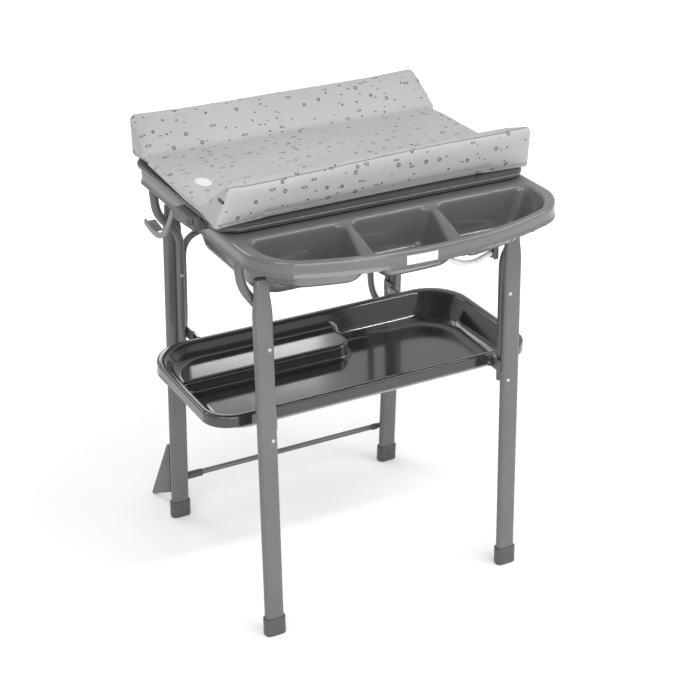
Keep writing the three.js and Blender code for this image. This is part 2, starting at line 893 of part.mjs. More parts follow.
// Notches in the tray's front skirt that the front tubes swing through
function trayNotches() {
  return [-1, 1].map((side) => {
    const middle = side * (front_leg_x - tube_inset);
    const low_z = tray_rim_height - tray_skirt - overrun;
    return block(
      [middle - tray_notch_width / 2, -tray_front_reach - overrun, low_z],
      [middle + tray_notch_width / 2, -tray_front_reach + tray_wall * 2, tray_rim_height - tray_wall * 2],
    );
  });
}

// Plate on the right leg's inner face that carries a tray pin
function trayBracket(x, legAt, pivot_y) {
  const face = x - leg_width / 2 - touch_gap;
  const leg_y = legAt(tray_pivot_height);
  const reach = pivot_y + Math.sign(pivot_y - leg_y) * lug_half_height;
  const plate = block(
    [face - bracket_thickness, Math.min(leg_y, reach), tray_pivot_height - bracket_half_height],
    [face, Math.max(leg_y, reach), tray_pivot_height + bracket_half_height],
  );
  const hole = bar("x", [face - bracket_thickness - slide_gap, pivot_y, tray_pivot_height], pin_radius + pin_play,
    bracket_thickness + slide_gap * 2, pin_sides);
  return cut(plate, [hole]);
}

// Changing board and mat
const board_low = rim_height + basin_bead_height + slide_gap;
const board_top = board_low + board_thickness;

function makeBoard() {
  const outlineAt = (inset) => roundedOutline([
    [-board_half_length + inset, -board_front_reach + inset, board_corner - inset],
    [board_half_length - inset, -board_front_reach + inset, board_corner - inset],
    [board_half_length - inset, board_back_reach - inset, board_corner - inset],
    [-board_half_length + inset, board_back_reach - inset, board_corner - inset],
  ], 7);
  return loft([
    ringAt(outlineAt(board_edge_radius), board_low),
    ringAt(outlineAt(0), board_low + board_edge_radius),
    ringAt(outlineAt(0), board_top - board_edge_radius / 2),
    ringAt(outlineAt(board_edge_radius / 2), board_top),
  ]);
}

// Places along the mat as shares of its half length, and how far its left front ridge has risen there
const mat_station_shares = [-1, -0.985, -0.92, -0.75, -0.5, -0.25, 0, 0.25, 0.5, 0.75, 0.94, 0.985, 1];

// The mat's section at one place along it
function matSection(share) {
  const x = mat_half_length * share;
  const low = board_top + touch_gap;
  const top = low + mat_height;
  const end_in = Math.abs(share) > 0.99 ? mat_ridge / 2 : 0;
  const pull = mat_draw_in * (1 - share * share);
  const front = -mat_front_reach + pull;
  const back = mat_back_reach - pull;
  const risen = THREE.MathUtils.clamp((x + mat_half_length) / mat_hip, 0, 1);
  const base = low + mat_base_height;
  const front_top = base + (top - base) * risen - end_in;
  const back_top = top - end_in;
  const crown = mat_crown * (1 - share * share);
  const flat_front = -mat_front_reach + mat_front_slope;
  const flat_back = mat_back_reach - mat_back_slope;
  const points = [];
  const push = (y, z) => {
    const backward = THREE.MathUtils.clamp((y - flat_back) / mat_back_slope, 0, 1);
    points.push(new THREE.Vector3(x - share * mat_back_draw * backward, y, z));
  };
  const sag_share = 0.06;
  push(front + mat_ridge / 2, low);
  push(front, low + mat_ridge / 2);
  push(front, base);
  push(front, front_top - mat_ridge);
  push(front + mat_ridge * 0.35, front_top - mat_ridge * 0.2);
  push(front + mat_ridge, front_top);
  push(front + mat_ridge * 2, front_top - mat_ridge * 0.4);
  const slope = (from_y, from_z, to_y, to_z) => {
    for (const along of [0.35, 0.7, 0.92]) {
      const bulge = mat_height * sag_share * Math.sin(Math.PI * along);
      push(from_y + (to_y - from_y) * along, from_z + (to_z - from_z) * along + bulge);
    }
  };
  slope(front + mat_ridge * 2, front_top - mat_ridge * 0.4, flat_front, base);
  for (const along of [0, 0.15, 0.35, 0.5, 0.65, 0.85, 1]) {
    push(flat_front + (flat_back - flat_front) * along, base + crown * Math.sin(Math.PI * along));
  }
  const back_slope = (from_y, from_z, to_y, to_z) => {
    for (const along of [0.08, 0.3, 0.65]) {
      const bulge = mat_height * sag_share * Math.sin(Math.PI * along);
      push(from_y + (to_y - from_y) * along, from_z + (to_z - from_z) * along + bulge);
    }
  };
  back_slope(flat_back, base, back - mat_ridge * 2, back_top - mat_ridge * 0.4);
  push(back - mat_ridge * 2, back_top - mat_ridge * 0.4);
  push(back - mat_ridge, back_top);
  push(back - mat_ridge * 0.35, back_top - mat_ridge * 0.2);
  push(back, back_top - mat_ridge);
  push(back, base);
  push(back, low + mat_ridge / 2);
  push(back - mat_ridge / 2, low);
  return points.reverse();
}

function makeMat() {
  return loft(mat_station_shares.map((share) => matSection(share)));
}

// Hinge along the back rim: the axis lies behind the rim, level with the board's underside
const hinge_y = tub_back_reach + hinge_behind;
const hinge_z = board_low - hinge_radius - touch_gap;

// Right-hand hinge half: knuckles joined by a leaf, on the board above or on the skirt below
function hingeHalf(upper) {
  const start = hinge_x - hinge_leaf_length / 2;
  const pitch = hinge_leaf_length / hinge_knuckles;
  const solids = [];
  for (let i = 0; i < hinge_knuckles; i += 1) {
    if ((i % 2 === 1) !== upper) continue;
    solids.push(
      bar("x", [start + i * pitch + touch_gap, hinge_y, hinge_z], hinge_radius, pitch - touch_gap * 2, pin_sides),
    );
  }
  const [low_x, high_x] = upper ? [start + pitch + touch_gap, start + pitch * 2 - touch_gap]
    : [start + touch_gap, start + hinge_leaf_length - touch_gap];
  if (upper) {
    solids.push(block([low_x, hinge_y - hinge_radius, hinge_z], [high_x, hinge_y, board_low - touch_gap]));
  } else {
    const face = tub_back_reach + touch_gap;
    solids.push(block([low_x, face, hinge_z - hinge_drop], [high_x, face + hinge_leaf_thickness, hinge_z - hinge_radius]));
    for (let i = 0; i < hinge_knuckles; i += 2) {
      const web_low = start + i * pitch + touch_gap;
      solids.push(block(
        [web_low, face, hinge_z - hinge_radius * 2],
        [web_low + pitch - touch_gap * 2, hinge_y, hinge_z],
      ));
    }
  }
  const hole = bar(
    "x", [start - slide_gap, hinge_y, hinge_z],
    hinge_pin_radius + touch_gap, hinge_leaf_length + slide_gap * 2, head_sides,
  );
  return cut(joined(solids), [hole]);
}

function hingePin() {
  return bar(
    "x", [hinge_x - hinge_leaf_length / 2, hinge_y, hinge_z],
    hinge_pin_radius, hinge_leaf_length, head_sides,
  );
}

// Rear brace: an upturned U of tube whose feet turn in to the backs of the rear legs
function makeBrace() {
  const at = (x, z, behind) => new THREE.Vector3(x, rearLegY(z) + behind, z);
  const foot_behind = leg_depth / 2 + brace_radius + touch_gap;
  const right = [
    at(brace_half_width, brace_top_height, brace_standoff),
    at(brace_half_width, brace_knee_height, brace_standoff),
    at(brace_foot_x, brace_heel_height, foot_behind),
    at(brace_foot_x, brace_foot_height, foot_behind),
  ];
  const left = right.map((knot) => new THREE.Vector3(-knot.x, knot.y, knot.z)).reverse();
  return tube(bentRoute([...left, ...right], brace_bend, 5), brace_radius);
}

// Depth of the back face of a rear leg, and of the rod that lies along it
const rearBackY = (z) => rearLegY(z) + leg_depth / 2 + touch_gap;
const rod_y = rearBackY(rod_height) + rod_radius;

// Stand fin: a blade on the rod's left end that reaches back to the floor
function makeFin() {
  const tip_y = rearBackY(0) + fin_reach;
  const side_view = roundedOutline([
    [rearBackY(fin_low_height), fin_low_height, slide_gap],
    [tip_y - fin_toe, 0, slide_gap],
    [tip_y, 0, slide_gap],
    [rearBackY(fin_height) + fin_rib, fin_height, slide_gap * 3],
    [rearBackY(fin_height), fin_height, slide_gap],
  ], 3);
  const x = -rear_leg_x - leg_width / 2 + fin_inset;
  const blade = sideways(side_view, x, x + fin_thickness);
  const bore = bar(
    "x", [x - overrun, rod_y, rod_height],
    rod_radius + touch_gap, fin_thickness + overrun * 2, pin_sides,
  );
  return cut(blade, [bore]);
}

// Cross rod along the backs of the rear legs, with its sleeve and collar
function makeRod() {
  const half = rear_leg_x + leg_width / 2 - fin_inset * 2;
  return bar("x", [-half, rod_y, rod_height], rod_radius, half * 2, pin_sides);
}

function rodRing(low_x, radius, length) {
  const shell = bar("x", [low_x, rod_y, rod_height], radius, length);
  const bore = bar(
    "x", [low_x - overrun, rod_y, rod_height],
    rod_radius + touch_gap, length + overrun * 2, pin_sides,
  );
  return cut(shell, [bore]);
}

// Latch block on the right rail, with a housing for its barrel and an ear for its lever
const latch_x = tub_half_length + touch_gap;
const latch_outer_x = latch_x + latch_width;
const barrel_z = rim_height + latch_top_gap - barrel_radius / 2;
const barrel_y = latch_front_y + barrel_grip_radius;
const lever_pivot_y = latch_front_y + latch_length;
const lever_pivot_z = rim_height - latch_pivot_drop;

function makeLatchBlock() {
  const top = rim_height + latch_top_gap;
  const low = rim_height - latch_height;
  const back = lever_pivot_y - lever_width;
  const side_view = roundedOutline([
    [latch_front_y, low + latch_height / 3, slide_gap * 3],
    [back, low, slide_gap * 3],
    [back + lever_width / 2, rim_height - slide_gap, slide_gap * 3],
    [back - lever_width, top, slide_gap * 3],
    [latch_front_y, top, slide_gap * 3],
  ], 3);
  const body = sideways(side_view, latch_x, latch_outer_x);
  const housing = bar(
    "x", [board_half_length + slide_gap * 2, barrel_y, barrel_z],
    barrel_grip_radius, barrel_housing,
  );
  const ear_view = roundedOutline([
    [back - lever_width, low, slide_gap],
    [lever_pivot_y + lever_width / 2, lever_pivot_z - lever_width / 2, slide_gap * 4],
    [lever_pivot_y + lever_width / 2, lever_pivot_z + lever_width / 2, slide_gap * 4],
    [back - lever_width, top - slide_gap * 2, slide_gap],
  ], 3);
  const ear = sideways(ear_view, latch_x, latch_outer_x - lever_plate - slide_gap);
  const bore = bar(
    "x", [latch_x - overrun, barrel_y, barrel_z],
    barrel_pin_radius + touch_gap, latch_width + overrun * 2, pin_sides,
  );
  const pin_hole = bar(
    "x", [latch_x - slide_gap, lever_pivot_y, lever_pivot_z],
    lever_pin_radius + touch_gap, latch_width, head_sides,
  );
  const board_room = block(
    [latch_x - overrun, -board_front_reach, board_low - slide_gap],
    [board_half_length + slide_gap, board_back_reach, rim_height + overrun],
  );
  return cut(joined([body, housing, ear]), [bore, pin_hole, board_room]);
}

// Spring-loaded pull pin of the latch, its grip outside the block
function makeBarrel() {
  const inner_x = board_half_length + slide_gap * 2;
  const pin = bar(
    "x", [inner_x, barrel_y, barrel_z],
    barrel_pin_radius, latch_outer_x - inner_x + slide_gap * 2, head_sides,
  );
  const grip = turned([
    [0, 0],
    [barrel_radius - slide_gap, 0],
    [barrel_radius, slide_gap],
    [barrel_radius, barrel_grip_length / 2],
    [barrel_radius - slide_gap, barrel_grip_length / 2 + slide_gap],
    [barrel_grip_radius - slide_gap, barrel_grip_length - slide_gap],
    [0, barrel_grip_length],
  ], pin_sides).rotate([0, 90, 0]).translate([latch_outer_x + slide_gap, barrel_y, barrel_z]);
  return pin.add(grip);
}

// Curved lever of the latch: a J-shaped side plate and a cross plate at its tip
function makeLever() {
  const [knee_share, knee_drop_share, heel_drop_share, tip_drop_share, web_share] = lever_shares;
  const at = (back, drop) => new THREE.Vector3(0, lever_pivot_y + back, lever_pivot_z - drop);
  const spine = new THREE.CubicBezierCurve3(
    at(0, 0),
    at(lever_back * knee_share, lever_drop * knee_drop_share),
    at(lever_back, lever_drop * heel_drop_share),
    at(lever_tip, lever_drop * tip_drop_share),
  );
  const steps = 12;
  const outer = [];
  const inner = [];
  for (let i = 0; i <= steps; i += 1) {
    const at = spine.getPoint(i / steps);
    const ahead = spine.getTangent(i / steps);
    const normal = new THREE.Vector2(-ahead.z, ahead.y).multiplyScalar(lever_width / 2);
    outer.push(new THREE.Vector2(at.y + normal.x, at.z + normal.y));
    inner.push(new THREE.Vector2(at.y - normal.x, at.z - normal.y));
  }
  const side_view = [...inner, ...outer.reverse()];
  const plate = sideways(side_view, latch_outer_x - lever_plate, latch_outer_x);
  const tip = spine.getPoint(1);
  const before = spine.getPoint(1 - web_share);
  const web_view = roundedOutline([
    [before.y, before.z - lever_plate, slide_gap],
    [tip.y, tip.z - lever_plate, slide_gap],
    [tip.y, tip.z, slide_gap],
    [before.y, before.z, slide_gap],
  ], 2);
  const web = sideways(web_view, latch_outer_x - lever_web, latch_outer_x - lever_plate / 2);
  const eye = bar(
    "x", [latch_outer_x - lever_plate, lever_pivot_y, lever_pivot_z],
    lever_width / 2, lever_plate, round_sides,
  );
  const pin = bar("x", [latch_outer_x - latch_width + slide_gap, lever_pivot_y, lever_pivot_z], lever_pin_radius,
    latch_width - lever_plate, head_sides);
  return joined([plate, web, eye, pin]);
}

// Drain plug, hose spigot and hose
const basin_floor = rim_height - basin_depth;

function makePlug() {
  return turned([
    [0, basin_floor - tub_wall],
    [plug_radius - slide_gap, basin_floor - tub_wall],
    [plug_radius, basin_floor + touch_gap],
    [plug_flange, basin_floor + touch_gap],
    [plug_flange, basin_floor + tub_wall],
    [plug_knob_radius, basin_floor + tub_wall + slide_gap],
    [plug_knob_radius - slide_gap, basin_floor + plug_knob_height],
    [plug_knob_radius, basin_floor + plug_knob_height + tub_wall],
    [0, basin_floor + plug_knob_height + tub_wall + slide_gap],
  ]).translate([drain_x, drain_y, 0]);
}

// The drain hose under the tub, along its route
function makeHose() {
  const knots = hose_route.map(([x, y, drop]) => new THREE.Vector3(x, y, rim_height - drop));
  return tube(new THREE.CatmullRomCurve3(knots).getPoints(hose_steps), hose_radius);
}

// Clip on the compartment's back wall that holds the hose's free end
function makeHoseClip() {
  const wall_y = -pod_back_reach + tub_wall + touch_gap;
  const high_x = clip_low_x + clip_width;
  const hold_z = rim_height - clip_hold_drop;
  const outer = hose_radius + hose_play + clip_thickness;
  const plate = block(
    [clip_low_x, wall_y, hold_z - outer],
    [high_x, wall_y + clip_thickness, rim_height - tub_wall * 3],
  );
  const web = block([clip_low_x, wall_y, hold_z - outer / 2], [high_x, clip_hold_y, hold_z + outer / 2]);
  const ring = bar("x", [clip_low_x, clip_hold_y, hold_z], outer, clip_width);
  const bore = bar("x", [clip_low_x - overrun, clip_hold_y, hold_z], hose_radius + hose_play, overrun * 3);
  return cut(joined([plate, web, ring]), [bore]);
}

// Assembly, one section per sub-assembly

piece("tub", makeTub(), finishes.tub);

const front_tube_x = front_leg_x - tube_inset;
const rear_tube_x = rear_leg_x - tube_inset;
const frontFace = (z) => frontLegY(z) - leg_depth / 2;
const rearFace = (z) => rearTubeY(z) - tube_radius;

for (const [side, label] of [[-1, "left"], [1, "right"]]) {
  const place = (body) => (side > 0 ? body : mirrored(body));
  const front_holes = rivetHoles(front_tube_x, front_rivets_z, frontLegY);
  const rear_holes = rivetHoles(rear_tube_x, rear_rivets_z, rearLegY);
  const front_pin_hole = pivotPin(1, front_pivot_y, pin_radius + pin_play, pin_half_length);
  const rear_pin_hole = pivotPin(1, rear_pivot_y, pin_radius + pin_play, pin_half_length);
  piece(`front_leg_${label}`, place(cut(makeLeg(front_leg_x, frontLegY), front_holes)), finishes.frame);
  piece(`rear_leg_${label}`, place(cut(makeLeg(rear_leg_x, rearLegY), rear_holes)), finishes.frame);
  piece(`front_foot_cap_${label}`, place(makeFootCap(front_leg_x, frontLegY)), finishes.cap);
  piece(`rear_foot_cap_${label}`, place(makeFootCap(rear_leg_x, rearLegY)), finishes.cap);
  const front_tube = cut(makeBentTube(front_tube_x, frontTubeY), [...front_holes, front_pin_hole]);
  const rear_tube = cut(makeBentTube(rear_tube_x, rearTubeY), [...rear_holes, rear_pin_hole]);
  piece(`front_tube_${label}`, place(front_tube), finishes.frame);
  piece(`rear_tube_${label}`, place(rear_tube), finishes.frame);
  piece(`front_rail_pin_${label}`, place(pivotPin(1, front_pivot_y, pin_radius, pin_half_length)), finishes.steel);
  piece(`rear_rail_pin_${label}`, place(pivotPin(1, rear_pivot_y, pin_radius, pin_half_length)), finishes.steel);
  front_rivets_z.forEach((z, index) => {
    piece(`front_rivet_${label}_${index + 1}`, place(makeRivet(front_tube_x, z, frontFace)), finishes.steel);
  });
  rear_rivets_z.forEach((z, index) => {
    piece(`rear_rivet_${label}_${index + 1}`, place(makeRivet(rear_tube_x, z, rearFace)), finishes.steel);
  });
  piece(`front_tray_bracket_${label}`, place(trayBracket(front_leg_x, frontLegY, front_pivot_y)), finishes.frame);
  piece(`rear_tray_bracket_${label}`, place(trayBracket(rear_leg_x, rearLegY, rear_pivot_y)), finishes.frame);
  piece(`front_tray_pin_${label}`, place(trayPin(front_lug_x, front_pivot_y, pin_radius, 0)), finishes.steel);
  piece(`rear_tray_pin_${label}`, place(trayPin(rear_lug_x, rear_pivot_y, pin_radius, 0)), finishes.steel);
  piece(`board_hinge_leaf_${label}`, place(hingeHalf(true)), finishes.board);
  piece(`tub_hinge_leaf_${label}`, place(hingeHalf(false)), finishes.board);
  piece(`hinge_pin_${label}`, place(hingePin()), finishes.steel);
  piece(`latch_block_${label}`, place(makeLatchBlock()), finishes.cap);
  piece(`latch_barrel_${label}`, place(makeBarrel()), finishes.cap);
  piece(`latch_lever_${label}`, place(makeLever()), finishes.lever);
}

piece("rear_brace", makeBrace(), finishes.frame);
piece("cross_rod", makeRod(), finishes.frame);
const rod_end = rear_leg_x - leg_width / 2 - slide_gap;
piece("rod_sleeve", rodRing(-rod_end, sleeve_radius, sleeve_length), finishes.cap);
piece("rod_collar", rodRing(rod_end - collar_length, collar_radius, collar_length), finishes.cap);
piece("stand_fin", makeFin(), finishes.cap);

piece("tray", makeTray(), finishes.tray);
piece("changing_board", makeBoard(), finishes.board);
piece("changing_mat", makeMat(), finishes.mat);
piece("drain_plug", makePlug(), finishes.cap);
piece("drain_hose", makeHose(), finishes.hose);
piece("hose_clip", makeHoseClip(), finishes.cap);

export default table;
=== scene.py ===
import logging
import math
import random
from dataclasses import dataclass, field
from enum import Enum
from typing import Callable, Sequence

import bmesh
import bpy
import numpy as np
from mathutils import Euler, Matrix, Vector
from mathutils.bvhtree import BVHTree


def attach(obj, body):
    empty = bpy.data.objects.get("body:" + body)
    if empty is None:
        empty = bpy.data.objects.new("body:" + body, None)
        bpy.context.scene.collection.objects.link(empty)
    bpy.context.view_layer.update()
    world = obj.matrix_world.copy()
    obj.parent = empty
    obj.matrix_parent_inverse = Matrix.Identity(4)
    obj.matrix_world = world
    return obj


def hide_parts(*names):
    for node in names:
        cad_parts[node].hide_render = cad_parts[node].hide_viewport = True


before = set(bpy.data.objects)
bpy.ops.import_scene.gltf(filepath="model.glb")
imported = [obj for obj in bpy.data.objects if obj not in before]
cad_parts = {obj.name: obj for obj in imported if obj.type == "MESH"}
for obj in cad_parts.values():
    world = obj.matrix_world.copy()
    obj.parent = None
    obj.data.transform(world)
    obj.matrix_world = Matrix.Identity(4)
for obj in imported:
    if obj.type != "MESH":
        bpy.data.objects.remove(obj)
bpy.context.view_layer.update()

log = logging.getLogger("changing_table")

Point = tuple[float, float, float]
Colour = tuple[float, float, float]
Pair = tuple[float, float]
Field = Callable[[np.ndarray, np.ndarray, np.ndarray], np.ndarray]

# The table's own levels and places, in metres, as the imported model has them
RIM = 0.944
RAIL_X = 0.345
RAIL_PIVOT = 0.924
FRONT_PIVOT_Y = -0.2092864
REAR_PIVOT_Y = 0.234172
TRAY_RIM = 0.529
TRAY_PIVOT = 0.519
SHIFT = 0.013
GAP = 0.0003


class Body(str, Enum):
    """Bodies of the folding table that pieces ride on."""

    REAR = "rear_frame"
    BATH = "bath"
    FRONT = "front_frame"
    TRAY = "storage_tray"
    TOP = "changing_top"
    PLUG = "plug"


class Side(Enum):
    """The two sides of the table, with the sign of X."""

    LEFT = -1
    RIGHT = 1

    @property
    def word(self) -> str:
        """The side's word in piece names."""
        return self.name.lower()


# Shader building


class Sheet:
    """A material's node tree with short ways to add and join nodes."""

    def __init__(self, name: str) -> None:
        """Starts an empty material with one Principled shader.

        Args:
            name: the material's name.
        """
        self.material = bpy.data.materials.new(name)
        self.material.use_nodes = True
        self.tree = self.material.node_tree
        self.shader = self.tree.nodes["Principled BSDF"]

    def add(self, kind: str, **settings: object) -> bpy.types.Node:
        """Adds one node and sets its properties.

        Args:
            kind: the node's type without its ShaderNode prefix.
            settings: properties of the node by name.

        Returns:
            The new node.
        """
        node = self.tree.nodes.new(f"ShaderNode{kind}")
        for key, value in settings.items():
            setattr(node, key, value)
        return node

    def join(self, source: bpy.types.NodeSocket, target: bpy.types.NodeSocket) -> None:
        """Links one socket to another."""
        self.tree.links.new(source, target)

    def drive(self, name: str, source: bpy.types.NodeSocket) -> None:
        """Links a socket to one of the shader's inputs."""
        self.join(source, self.shader.inputs[name])

    def math(self, operation: str, first: object, second: object = 0.0,
             clamp: bool = False) -> bpy.types.NodeSocket:
        """One Math node.

        Args:
            operation: the Math node's operation.
            first: a socket or a number.
            second: a socket or a number.
            clamp: whether the result is held between 0 and 1.

        Returns:
            The node's output.
        """
        node = self.add("Math", operation=operation, use_clamp=clamp)
        for value, socket in ((first, node.inputs[0]), (second, node.inputs[1])):
            if isinstance(value, bpy.types.NodeSocket):
                self.join(value, socket)
            else:
                socket.default_value = value
        return node.outputs[0]

    def noise(self, scale: float, detail: float = 2.0) -> bpy.types.NodeSocket:
        """Noise on Object coordinates.

        Args:
            scale: features per metre, roughly.
            detail: octaves.

        Returns:
            The noise factor.
        """
        node = self.add("TexNoise")
        node.inputs["Scale"].default_value = scale
        node.inputs["Detail"].default_value = detail
        self.join(self.place(), node.inputs["Vector"])
        return node.outputs["Fac"]

    def place(self) -> bpy.types.NodeSocket:
        """Object coordinates."""
        return self.add("TexCoord").outputs["Object"]

    def ramp(self, factor: bpy.types.NodeSocket, low: float, high: float, out_low: float,
             out_high: float) -> bpy.types.NodeSocket:
        """Maps a factor from one range to another, held at both ends.

        Args:
            factor: the value that is mapped.
            low: the range's start.
            high: the range's end.
            out_low: the result at the start.
            out_high: the result at the end.

        Returns:
            The mapped value.
        """
        node = self.add("MapRange", clamp=True)
        self.join(factor, node.inputs["Value"])
        for key, value in (("From Min", low), ("From Max", high), ("To Min", out_low), ("To Max", out_high)):
            node.inputs[key].default_value = value
        return node.outputs["Result"]

    def blend(self, factor: bpy.types.NodeSocket, first: object, second: object) -> bpy.types.NodeSocket:
        """Mixes two colours.

        Args:
            factor: 0 for the first colour, 1 for the second.
            first: a colour or a socket.
            second: a colour or a socket.

        Returns:
            The mixed colour.
        """
        node = self.add("Mix", data_type="RGBA")
        self.join(factor, node.inputs["Factor"])
        for value, key in ((first, "A"), (second, "B")):
            socket = [s for s in node.inputs if s.name == key and s.type == "RGBA"][0]
            if isinstance(value, bpy.types.NodeSocket):
                self.join(value, socket)
            else:
                socket.default_value = (*value, 1.0)
        return [s for s in node.outputs if s.type == "RGBA"][0]

    def relief(self, height: bpy.types.NodeSocket, distance: float, strength: float = 1.0) -> None:
        """Puts a bump on the shader, after any bump that it already has.

        Args:
            height: the height field.
            distance: the height of one unit in metres.
            strength: the bump's strength.
        """
        node = self.add("Bump")
        node.inputs["Strength"].default_value = strength
        node.inputs["Distance"].default_value = distance
        self.join(height, node.inputs["Height"])
        self.join(node.outputs["Normal"], self.shader.inputs["Normal"])

    def socket(self, name: str, value: object) -> None:
        """Sets one plain value on the shader."""
        self.shader.inputs[name].default_value = value


def shaded(colour: Colour, share: float) -> Colour:
    """A colour made darker or lighter by a share."""
    return tuple(c * share for c in colour)


@dataclass(frozen=True)
class Moulding:
    """A moulded plastic: colour with slow variation, fine grain and rubbed patches."""

    name: str
    colour: Colour
    roughness: float
    grain: float = 900.0
    grain_height: float = 0.00003
    variation: float = 0.12
    coat: float = 0.0

    def build(self) -> bpy.types.Material:
        """Makes the material."""
        sheet = Sheet(self.name)
        slow = sheet.ramp(sheet.noise(7.0, 3.0), 0.3, 0.7, 0.0, 1.0)
        darker, lighter = shaded(self.colour, 1 - self.variation), shaded(self.colour, 1 + self.variation)
        sheet.drive("Base Color", sheet.blend(slow, darker, lighter))
        rubbed = sheet.noise(38.0, 4.0)
        sheet.drive("Roughness", sheet.ramp(rubbed, 0.35, 0.75, self.roughness * 0.9, self.roughness * 1.25))
        sheet.relief(sheet.noise(self.grain, 2.0), self.grain_height, 0.6)
        sheet.socket("Coat Weight", self.coat)
        sheet.socket("Coat Roughness", 0.12)
        sheet.socket("IOR", 1.49)
        return sheet.material


@dataclass(frozen=True)
class PaintedTube:
    """Baked paint on steel tube: even colour, slight orange peel and faint scuffs."""

    name: str = "painted_tube"
    colour: Colour = (0.146, 0.146, 0.148)
    roughness: float = 0.36

    def build(self) -> bpy.types.Material:
        """Makes the material."""
        sheet = Sheet(self.name)
        slow = sheet.ramp(sheet.noise(5.0, 2.0), 0.3, 0.7, 0.0, 1.0)
        base = sheet.blend(slow, shaded(self.colour, 0.93), shaded(self.colour, 1.07))
        scuff = sheet.ramp(sheet.noise(160.0, 5.0), 0.66, 0.74, 0.0, 0.35)
        sheet.drive("Base Color", sheet.blend(scuff, base, shaded(self.colour, 1.5)))
        sheet.drive("Roughness", sheet.ramp(scuff, 0.0, 0.35, self.roughness, self.roughness + 0.12))
        sheet.relief(sheet.noise(420.0, 1.0), 0.00004, 0.5)
        sheet.socket("Metallic", 0.25)
        sheet.socket("Coat Weight", 0.25)
        sheet.socket("Coat Roughness", 0.2)
        return sheet.material


@dataclass(frozen=True)
class BrightSteel:
    """Zinc-plated steel of rivets and pins."""

    name: str = "bright_steel"
    colour: Colour = (0.62, 0.63, 0.65)

    def build(self) -> bpy.types.Material:
        """Makes the material."""
        sheet = Sheet(self.name)
        cloud = sheet.ramp(sheet.noise(240.0, 3.0), 0.35, 0.7, 0.0, 1.0)
        sheet.drive("Base Color", sheet.blend(cloud, shaded(self.colour, 0.85), self.colour))
        sheet.drive("Roughness", sheet.ramp(cloud, 0.0, 1.0, 0.38, 0.24))
        sheet.relief(sheet.noise(1500.0, 1.0), 0.00001, 0.4)
        sheet.socket("Metallic", 1.0)
        return sheet.material


@dataclass(frozen=True)
class CoatedCloth:
    """Wipe-clean cover: light grey coated cloth with a loose print of dots, rings and dashes."""

    name: str = "coated_cloth"
    colour: Colour = (0.395, 0.397, 0.393)
    ink: Colour = (0.03, 0.03, 0.032)
    cell: float = 0.034
    dot: Pair = (0.0015, 0.0026)
    ring: Pair = (0.0026, 0.0036)
    ring_line: float = 0.0012
    dot_share: float = 0.42
    ring_share: float = 0.68
    thread: float = 260.0

    def mark(self, sheet: Sheet, coords: bpy.types.NodeSocket, seed: float) -> bpy.types.NodeSocket:
        """One scatter of marks, some cells left empty.

        Args:
            sheet: the material's sheet.
            coords: the cover's flat coordinates in metres.
            seed: shift of the scatter.

        Returns:
            1 where there is ink.
        """
        moved = sheet.add("Mapping")
        moved.inputs["Location"].default_value = (seed, seed * 1.7, 0.0)
        sheet.join(coords, moved.inputs["Vector"])
        cells = sheet.add("TexVoronoi", voronoi_dimensions="2D", feature="F1")
        cells.inputs["Scale"].default_value = 1.0 / self.cell
        cells.inputs["Randomness"].default_value = 0.8
        sheet.join(moved.outputs["Vector"], cells.inputs["Vector"])
        reach = sheet.math("MULTIPLY", cells.outputs["Distance"], self.cell)
        pick = sheet.add("SeparateColor")
        sheet.join(cells.outputs["Color"], pick.inputs["Color"])
        kind, size, shade = pick.outputs[0], pick.outputs[1], pick.outputs[2]
        dot = sheet.math("LESS_THAN", reach, sheet.ramp(size, 0.0, 1.0, *self.dot))
        off_ring = sheet.math("SUBTRACT", reach, sheet.ramp(size, 0.0, 1.0, *self.ring))
        ring = sheet.math("LESS_THAN", sheet.math("ABSOLUTE", off_ring), self.ring_line)
        is_dot = sheet.math("LESS_THAN", kind, self.dot_share)
        is_ring = sheet.math("MULTIPLY", sheet.math("GREATER_THAN", kind, self.dot_share),
                             sheet.math("LESS_THAN", kind, self.ring_share))
        ink = sheet.math("ADD", sheet.math("MULTIPLY", dot, is_dot), sheet.math("MULTIPLY", ring, is_ring),
                         clamp=True)
        return sheet.math("MULTIPLY", ink, sheet.ramp(shade, 0.0, 1.0, 0.85, 1.0))

    def build(self) -> bpy.types.Material:
        """Makes the material."""
        sheet = Sheet(self.name)
        flat = sheet.add("UVMap", uv_map="cover").outputs["UV"]
        dashes = sheet.add("Mapping")
        dashes.inputs["Rotation"].default_value = (0.0, 0.0, 0.9)
        dashes.inputs["Scale"].default_value = (0.62, 1.5, 1.0)
        sheet.join(flat, dashes.inputs["Vector"])
        marks = self.mark(sheet, flat, 0.137)
        small = sheet.math("MULTIPLY", self.mark(sheet, dashes.outputs["Vector"], 0.731), 0.8)
        ink = sheet.math("ADD", marks, small, clamp=True)
        slow = sheet.ramp(sheet.noise(4.0, 2.0), 0.3, 0.7, 0.0, 1.0)
        ground = sheet.blend(slow, shaded(self.colour, 0.95), shaded(self.colour, 1.04))
        sheet.drive("Base Color", sheet.blend(ink, ground, self.ink))
        sheet.drive("Roughness", sheet.ramp(sheet.noise(60.0, 3.0), 0.3, 0.8, 0.38, 0.55))
        threads = []
        for axis in ("X", "Y"):
            wave = sheet.add("TexWave", bands_direction=axis)
            wave.inputs["Scale"].default_value = self.thread
            sheet.join(flat, wave.inputs["Vector"])
            threads.append(wave.outputs["Fac"])
        cloth = sheet.math("ADD", *threads)
        crease = sheet.math("MULTIPLY", sheet.noise(9.0, 3.0), 30.0)
        sheet.relief(sheet.math("ADD", cloth, crease), 0.00004, 0.55)
        sheet.socket("Sheen Weight", 0.12)
        sheet.socket("Sheen Roughness", 0.4)
        return sheet.material


